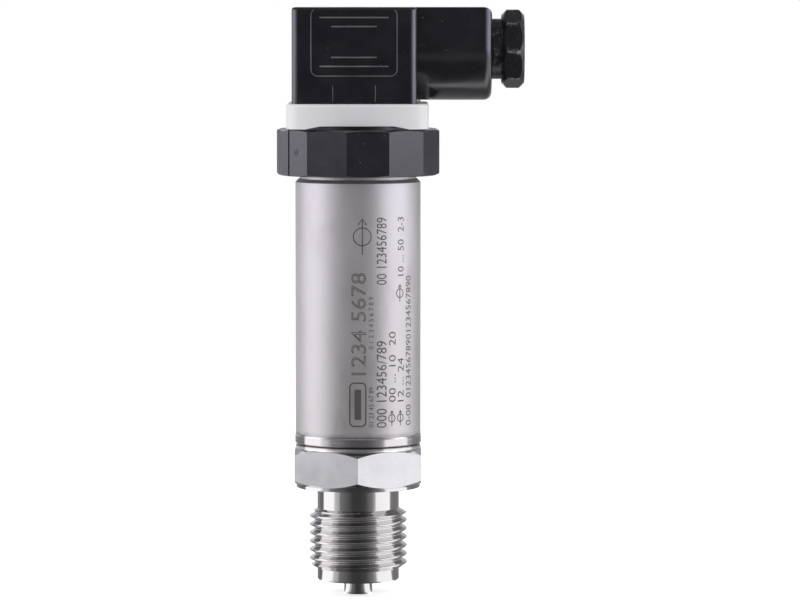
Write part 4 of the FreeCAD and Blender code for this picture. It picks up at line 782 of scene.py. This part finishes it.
# The pale band at the head's outer rim is partly wear and partly a painted highlight on its chamfer.
rim_wear_and_highlight = between(gland_plastic, along, GLAND_HEAD_HALF_LENGTH - GLAND_PALE_RIM, GLAND_HEAD_HALF_LENGTH,
              0, RIM_WEAR_AND_HIGHLIGHT)
edges = calculated(gland_plastic, "MAXIMUM", corner, rim_wear_and_highlight)
dust = noise(gland_plastic, scale=900.0, detail=6.0, roughness=0.7)
clean_neck = between(gland_plastic, reach, *GLAND_NECK_RADII, NECK_WEAR, 0)
dusty = calculated(gland_plastic, "ADD", clean_neck, dust)
wear_dust_and_highlight = calculated(gland_plastic, "MULTIPLY_ADD", edges, EDGE_SHARE, dusty)
feed(gland_plastic, "Base Color", ramp(gland_plastic, wear_dust_and_highlight, [
    (0.59, (0.006, 0.006, 0.008)), (0.7, (0.05, 0.05, 0.055)), (0.84, (0.22, 0.22, 0.23))]))
feed(gland_plastic, "Roughness", between(gland_plastic, wear_dust_and_highlight, 0.6, 0.85, 0.28, 0.6))
bumped(gland_plastic, dust, distance=0.00002)
dress(gland_plastic, "gland_screw")

# Plug screw and terminal screws
# Zinc-plated steel, cold headed, slotted and thread rolled.
# The long one holds the plug on its base, and the short ones clamp the cable's wires.
zinc = natural("zinc_plate", (0.66, 0.67, 0.69), 0.27, metallic=1.0, grain=1400.0, depth=0.000008)
dress(zinc, "plug_screw", "terminal_screws")

# Studio
# A pale floor, a soft lamp at each side in front and one above, and a light tent that only reflections see.
# The tent is closed by a dim lid, and its wall has bright panels at the sides and dark cloth between them,
# laid out for the piece at each height, so metal and gloss get the bands of a product photograph.
FLOOR_HEIGHT = -0.0031
FLOOR_REACH = 40.0
FLOOR_GLOW = 0.59
LAMP_POWER = 3.0
LAMP_AIM = (0, 0, 0.07)
SIDE_LAMP_SIZE = (0.5, 0.8)
TOP_LAMP_SIZE = (0.9, 0.7)
SURROUND_LIGHT = 0.5
SURROUND_SEEN = 1.0
TENT_RADIUS = 0.21
TENT_MIDDLE = 0.002
TENT_LIFT = 0.0001
# Brightness at places round the tent, in degrees from the camera's side toward the plug's barrel.
TENT_FOOT = ((-180, 0.42), (-150, 0.30), (-125, 0.18), (-114, 0.20), (-110, 1.45), (-72, 1.45), (-66, 0.72),
             (-54, 0.55), (-50, 0.24), (-35, 0.16), (-15, 0.06), (0, 0.05), (20, 0.08), (38, 0.24), (47, 0.5),
             (51, 1.3), (98, 1.4), (102, 0.3), (120, 0.22), (150, 0.25), (180, 0.42))
TENT_CASE = ((-180, 0.8), (-150, 0.7), (-128, 0.55), (-116, 0.6), (-108, 1.5), (-64, 1.5), (-54, 0.85),
             (-45, 0.5), (-30, 0.39), (-12, 0.25), (4, 0.2), (20, 0.22), (34, 0.34), (44, 0.42),
             (50, 1.25), (110, 1.45), (118, 0.55), (140, 0.4), (180, 0.6))
TENT_NUT = ((-180, 0.42), (-150, 0.3), (-118, 0.3), (-114, 1.6), (-64, 1.5), (-58, 0.5), (-52, 0.16),
            (-44, 0.22), (-36, 0.32), (-28, 0.12), (0, 0.08), (10, 0.14), (24, 0.08), (36, 0.15), (44, 0.5),
            (50, 1.5), (98, 1.6), (104, 0.4), (122, 0.25), (150, 0.25), (180, 0.42))
TENT_PLUG = ((-180, 0.5), (-150, 0.4), (-128, 0.3), (-118, 1.0), (-104, 2.4), (-66, 2.4), (-45, 1.3),
             (-28, 0.25), (-15, 0.06), (0, 0.05), (14, 0.08), (28, 0.5), (44, 1.7), (60, 2.9), (90, 2.9),
             (104, 0.7), (120, 0.3), (150, 0.3), (180, 0.5))
TENT_ABOVE = ((-180, 1.0), (-100, 1.0), (-80, 0.5), (-60, 0.3), (60, 0.3), (80, 0.5), (100, 1.0), (180, 1.0))
TENT_LID = ((-180, 0.2), (180, 0.2))
STEEL_TINT = (1.0, 0.985, 1.01)
CASE_TINT = (0.985, 0.97, 1.03)
PLASTIC_TINT = (0.99, 0.96, 1.12)
# Each row's radius, height, brightness round it and tint.
TENT_ROWS = (
    (TENT_MIDDLE, FLOOR_HEIGHT, TENT_FOOT, STEEL_TINT),
    (TENT_RADIUS, FLOOR_HEIGHT, TENT_FOOT, STEEL_TINT),
    (TENT_RADIUS, 0.0125, TENT_FOOT, STEEL_TINT),
    (TENT_RADIUS, 0.0150, TENT_CASE, CASE_TINT),
    (TENT_RADIUS, 0.074, TENT_CASE, CASE_TINT),
    (TENT_RADIUS, 0.079, TENT_NUT, PLASTIC_TINT),
    (TENT_RADIUS, 0.096, TENT_NUT, PLASTIC_TINT),
    (TENT_RADIUS, 0.099, TENT_PLUG, PLASTIC_TINT),
    (TENT_RADIUS, 0.140, TENT_PLUG, PLASTIC_TINT),
    (TENT_RADIUS, 0.146, TENT_ABOVE, STEEL_TINT),
    (TENT_RADIUS, 0.190, TENT_ABOVE, STEEL_TINT),
    (TENT_RADIUS, 0.230, TENT_LID, STEEL_TINT),
    (0.140, 0.300, TENT_LID, STEEL_TINT),
    (TENT_MIDDLE, 0.310, TENT_LID, STEEL_TINT),
)


def soft_box(name, place, size):
    """A rectangular lamp at a place, aimed at the object."""
    lamp = bpy.data.lights.new(name, "AREA")
    lamp.shape = "RECTANGLE"
    lamp.size, lamp.size_y = size
    lamp.energy = LAMP_POWER
    holder = bpy.data.objects.new(name, lamp)
    holder.location = place
    away = np.array(place) - np.array(LAMP_AIM)
    tilt = math.atan2(math.hypot(away[0], away[1]), away[2])
    holder.rotation_euler = (tilt, 0, math.atan2(away[1], away[0]) + math.pi / 2)
    holder.visible_glossy = False
    bpy.context.scene.collection.objects.link(holder)


def seen_rays(owner):
    """1 for the rays of the camera, of reflections and of clear materials, and 0 for the rest."""
    rays = add_node(owner, "ShaderNodeLightPath").outputs
    seen = calculated(owner, "MAXIMUM", rays["Is Camera Ray"], rays["Is Glossy Ray"])
    return calculated(owner, "MAXIMUM", seen, rays["Is Transmission Ray"])


floor_mesh = bpy.data.meshes.new("floor")
floor_mesh.from_pydata([(-FLOOR_REACH, -FLOOR_REACH, FLOOR_HEIGHT), (FLOOR_REACH, -FLOOR_REACH, FLOOR_HEIGHT),
                        (FLOOR_REACH, FLOOR_REACH, FLOOR_HEIGHT), (-FLOOR_REACH, FLOOR_REACH, FLOOR_HEIGHT)],
                       [], [(0, 1, 2, 3)])
floor = bpy.data.objects.new("floor", floor_mesh)
bpy.context.scene.collection.objects.link(floor)
floor_paint = finish("floor_paint", (0.82, 0.82, 0.82), 0.9)
shader_of(floor_paint).inputs["Specular IOR Level"].default_value = 0.0
shader_of(floor_paint).inputs["Emission Color"].default_value = (1, 1, 1, 1)
floor_glow = calculated(floor_paint, "MULTIPLY", seen_rays(floor_paint), FLOOR_GLOW)
feed(floor_paint, "Emission Strength", floor_glow)
floor.data.materials.append(floor_paint)

tent_degrees = np.arange(-180, 180)
tent_points = np.stack([turned_points(radius, height + TENT_LIFT, np.radians(tent_degrees - 90))
                        for radius, height, pattern, tint in TENT_ROWS])
tent_light = np.stack([np.interp(tent_degrees, *np.array(pattern).T)[:, None] * np.array((*tint, 1.0))
                       for radius, height, pattern, tint in TENT_ROWS])
tent_mesh = bpy.data.meshes.new("light_tent")
tent_mesh.from_pydata(tent_points.reshape(-1, 3).tolist(), [], grid_faces(len(TENT_ROWS), len(tent_degrees)))
panel = tent_mesh.color_attributes.new("panel", "FLOAT_COLOR", "POINT")
panel.data.foreach_set("color", tent_light.ravel())
tent = bpy.data.objects.new("light_tent", tent_mesh)
bpy.context.scene.collection.objects.link(tent)
tent_cloth = bpy.data.materials.new("tent_cloth")
tent_cloth.use_nodes = True
tent_cloth.node_tree.nodes.remove(shader_of(tent_cloth))
panel_colour = add_node(tent_cloth, "ShaderNodeAttribute", {"attribute_name": "panel"})
tent_glow = add_node(tent_cloth, "ShaderNodeEmission", Color=panel_colour.outputs["Color"])
tent_cloth.node_tree.links.new(tent_glow.outputs["Emission"],
                               tent_cloth.node_tree.nodes["Material Output"].inputs["Surface"])
tent.data.materials.append(tent_cloth)
tent.visible_camera = False
tent.visible_diffuse = False
tent.visible_shadow = False
tent.visible_transmission = False

soft_box("left_box", (-0.72, -0.42, 0.30), SIDE_LAMP_SIZE)
soft_box("right_box", (0.72, -0.42, 0.30), SIDE_LAMP_SIZE)
soft_box("top_box", (0.0, -0.15, 1.1), TOP_LAMP_SIZE)

world = bpy.data.worlds.new("surround")
world.use_nodes = True
bpy.context.scene.world = world
strength = between(world, seen_rays(world), 0, 1, SURROUND_LIGHT, SURROUND_SEEN)
background = world.node_tree.nodes["Background"]
background.inputs["Color"].default_value = (1, 1, 1, 1)
world.node_tree.links.new(strength, background.inputs["Strength"])
bpy.context.scene.view_settings.view_transform = "Standard"
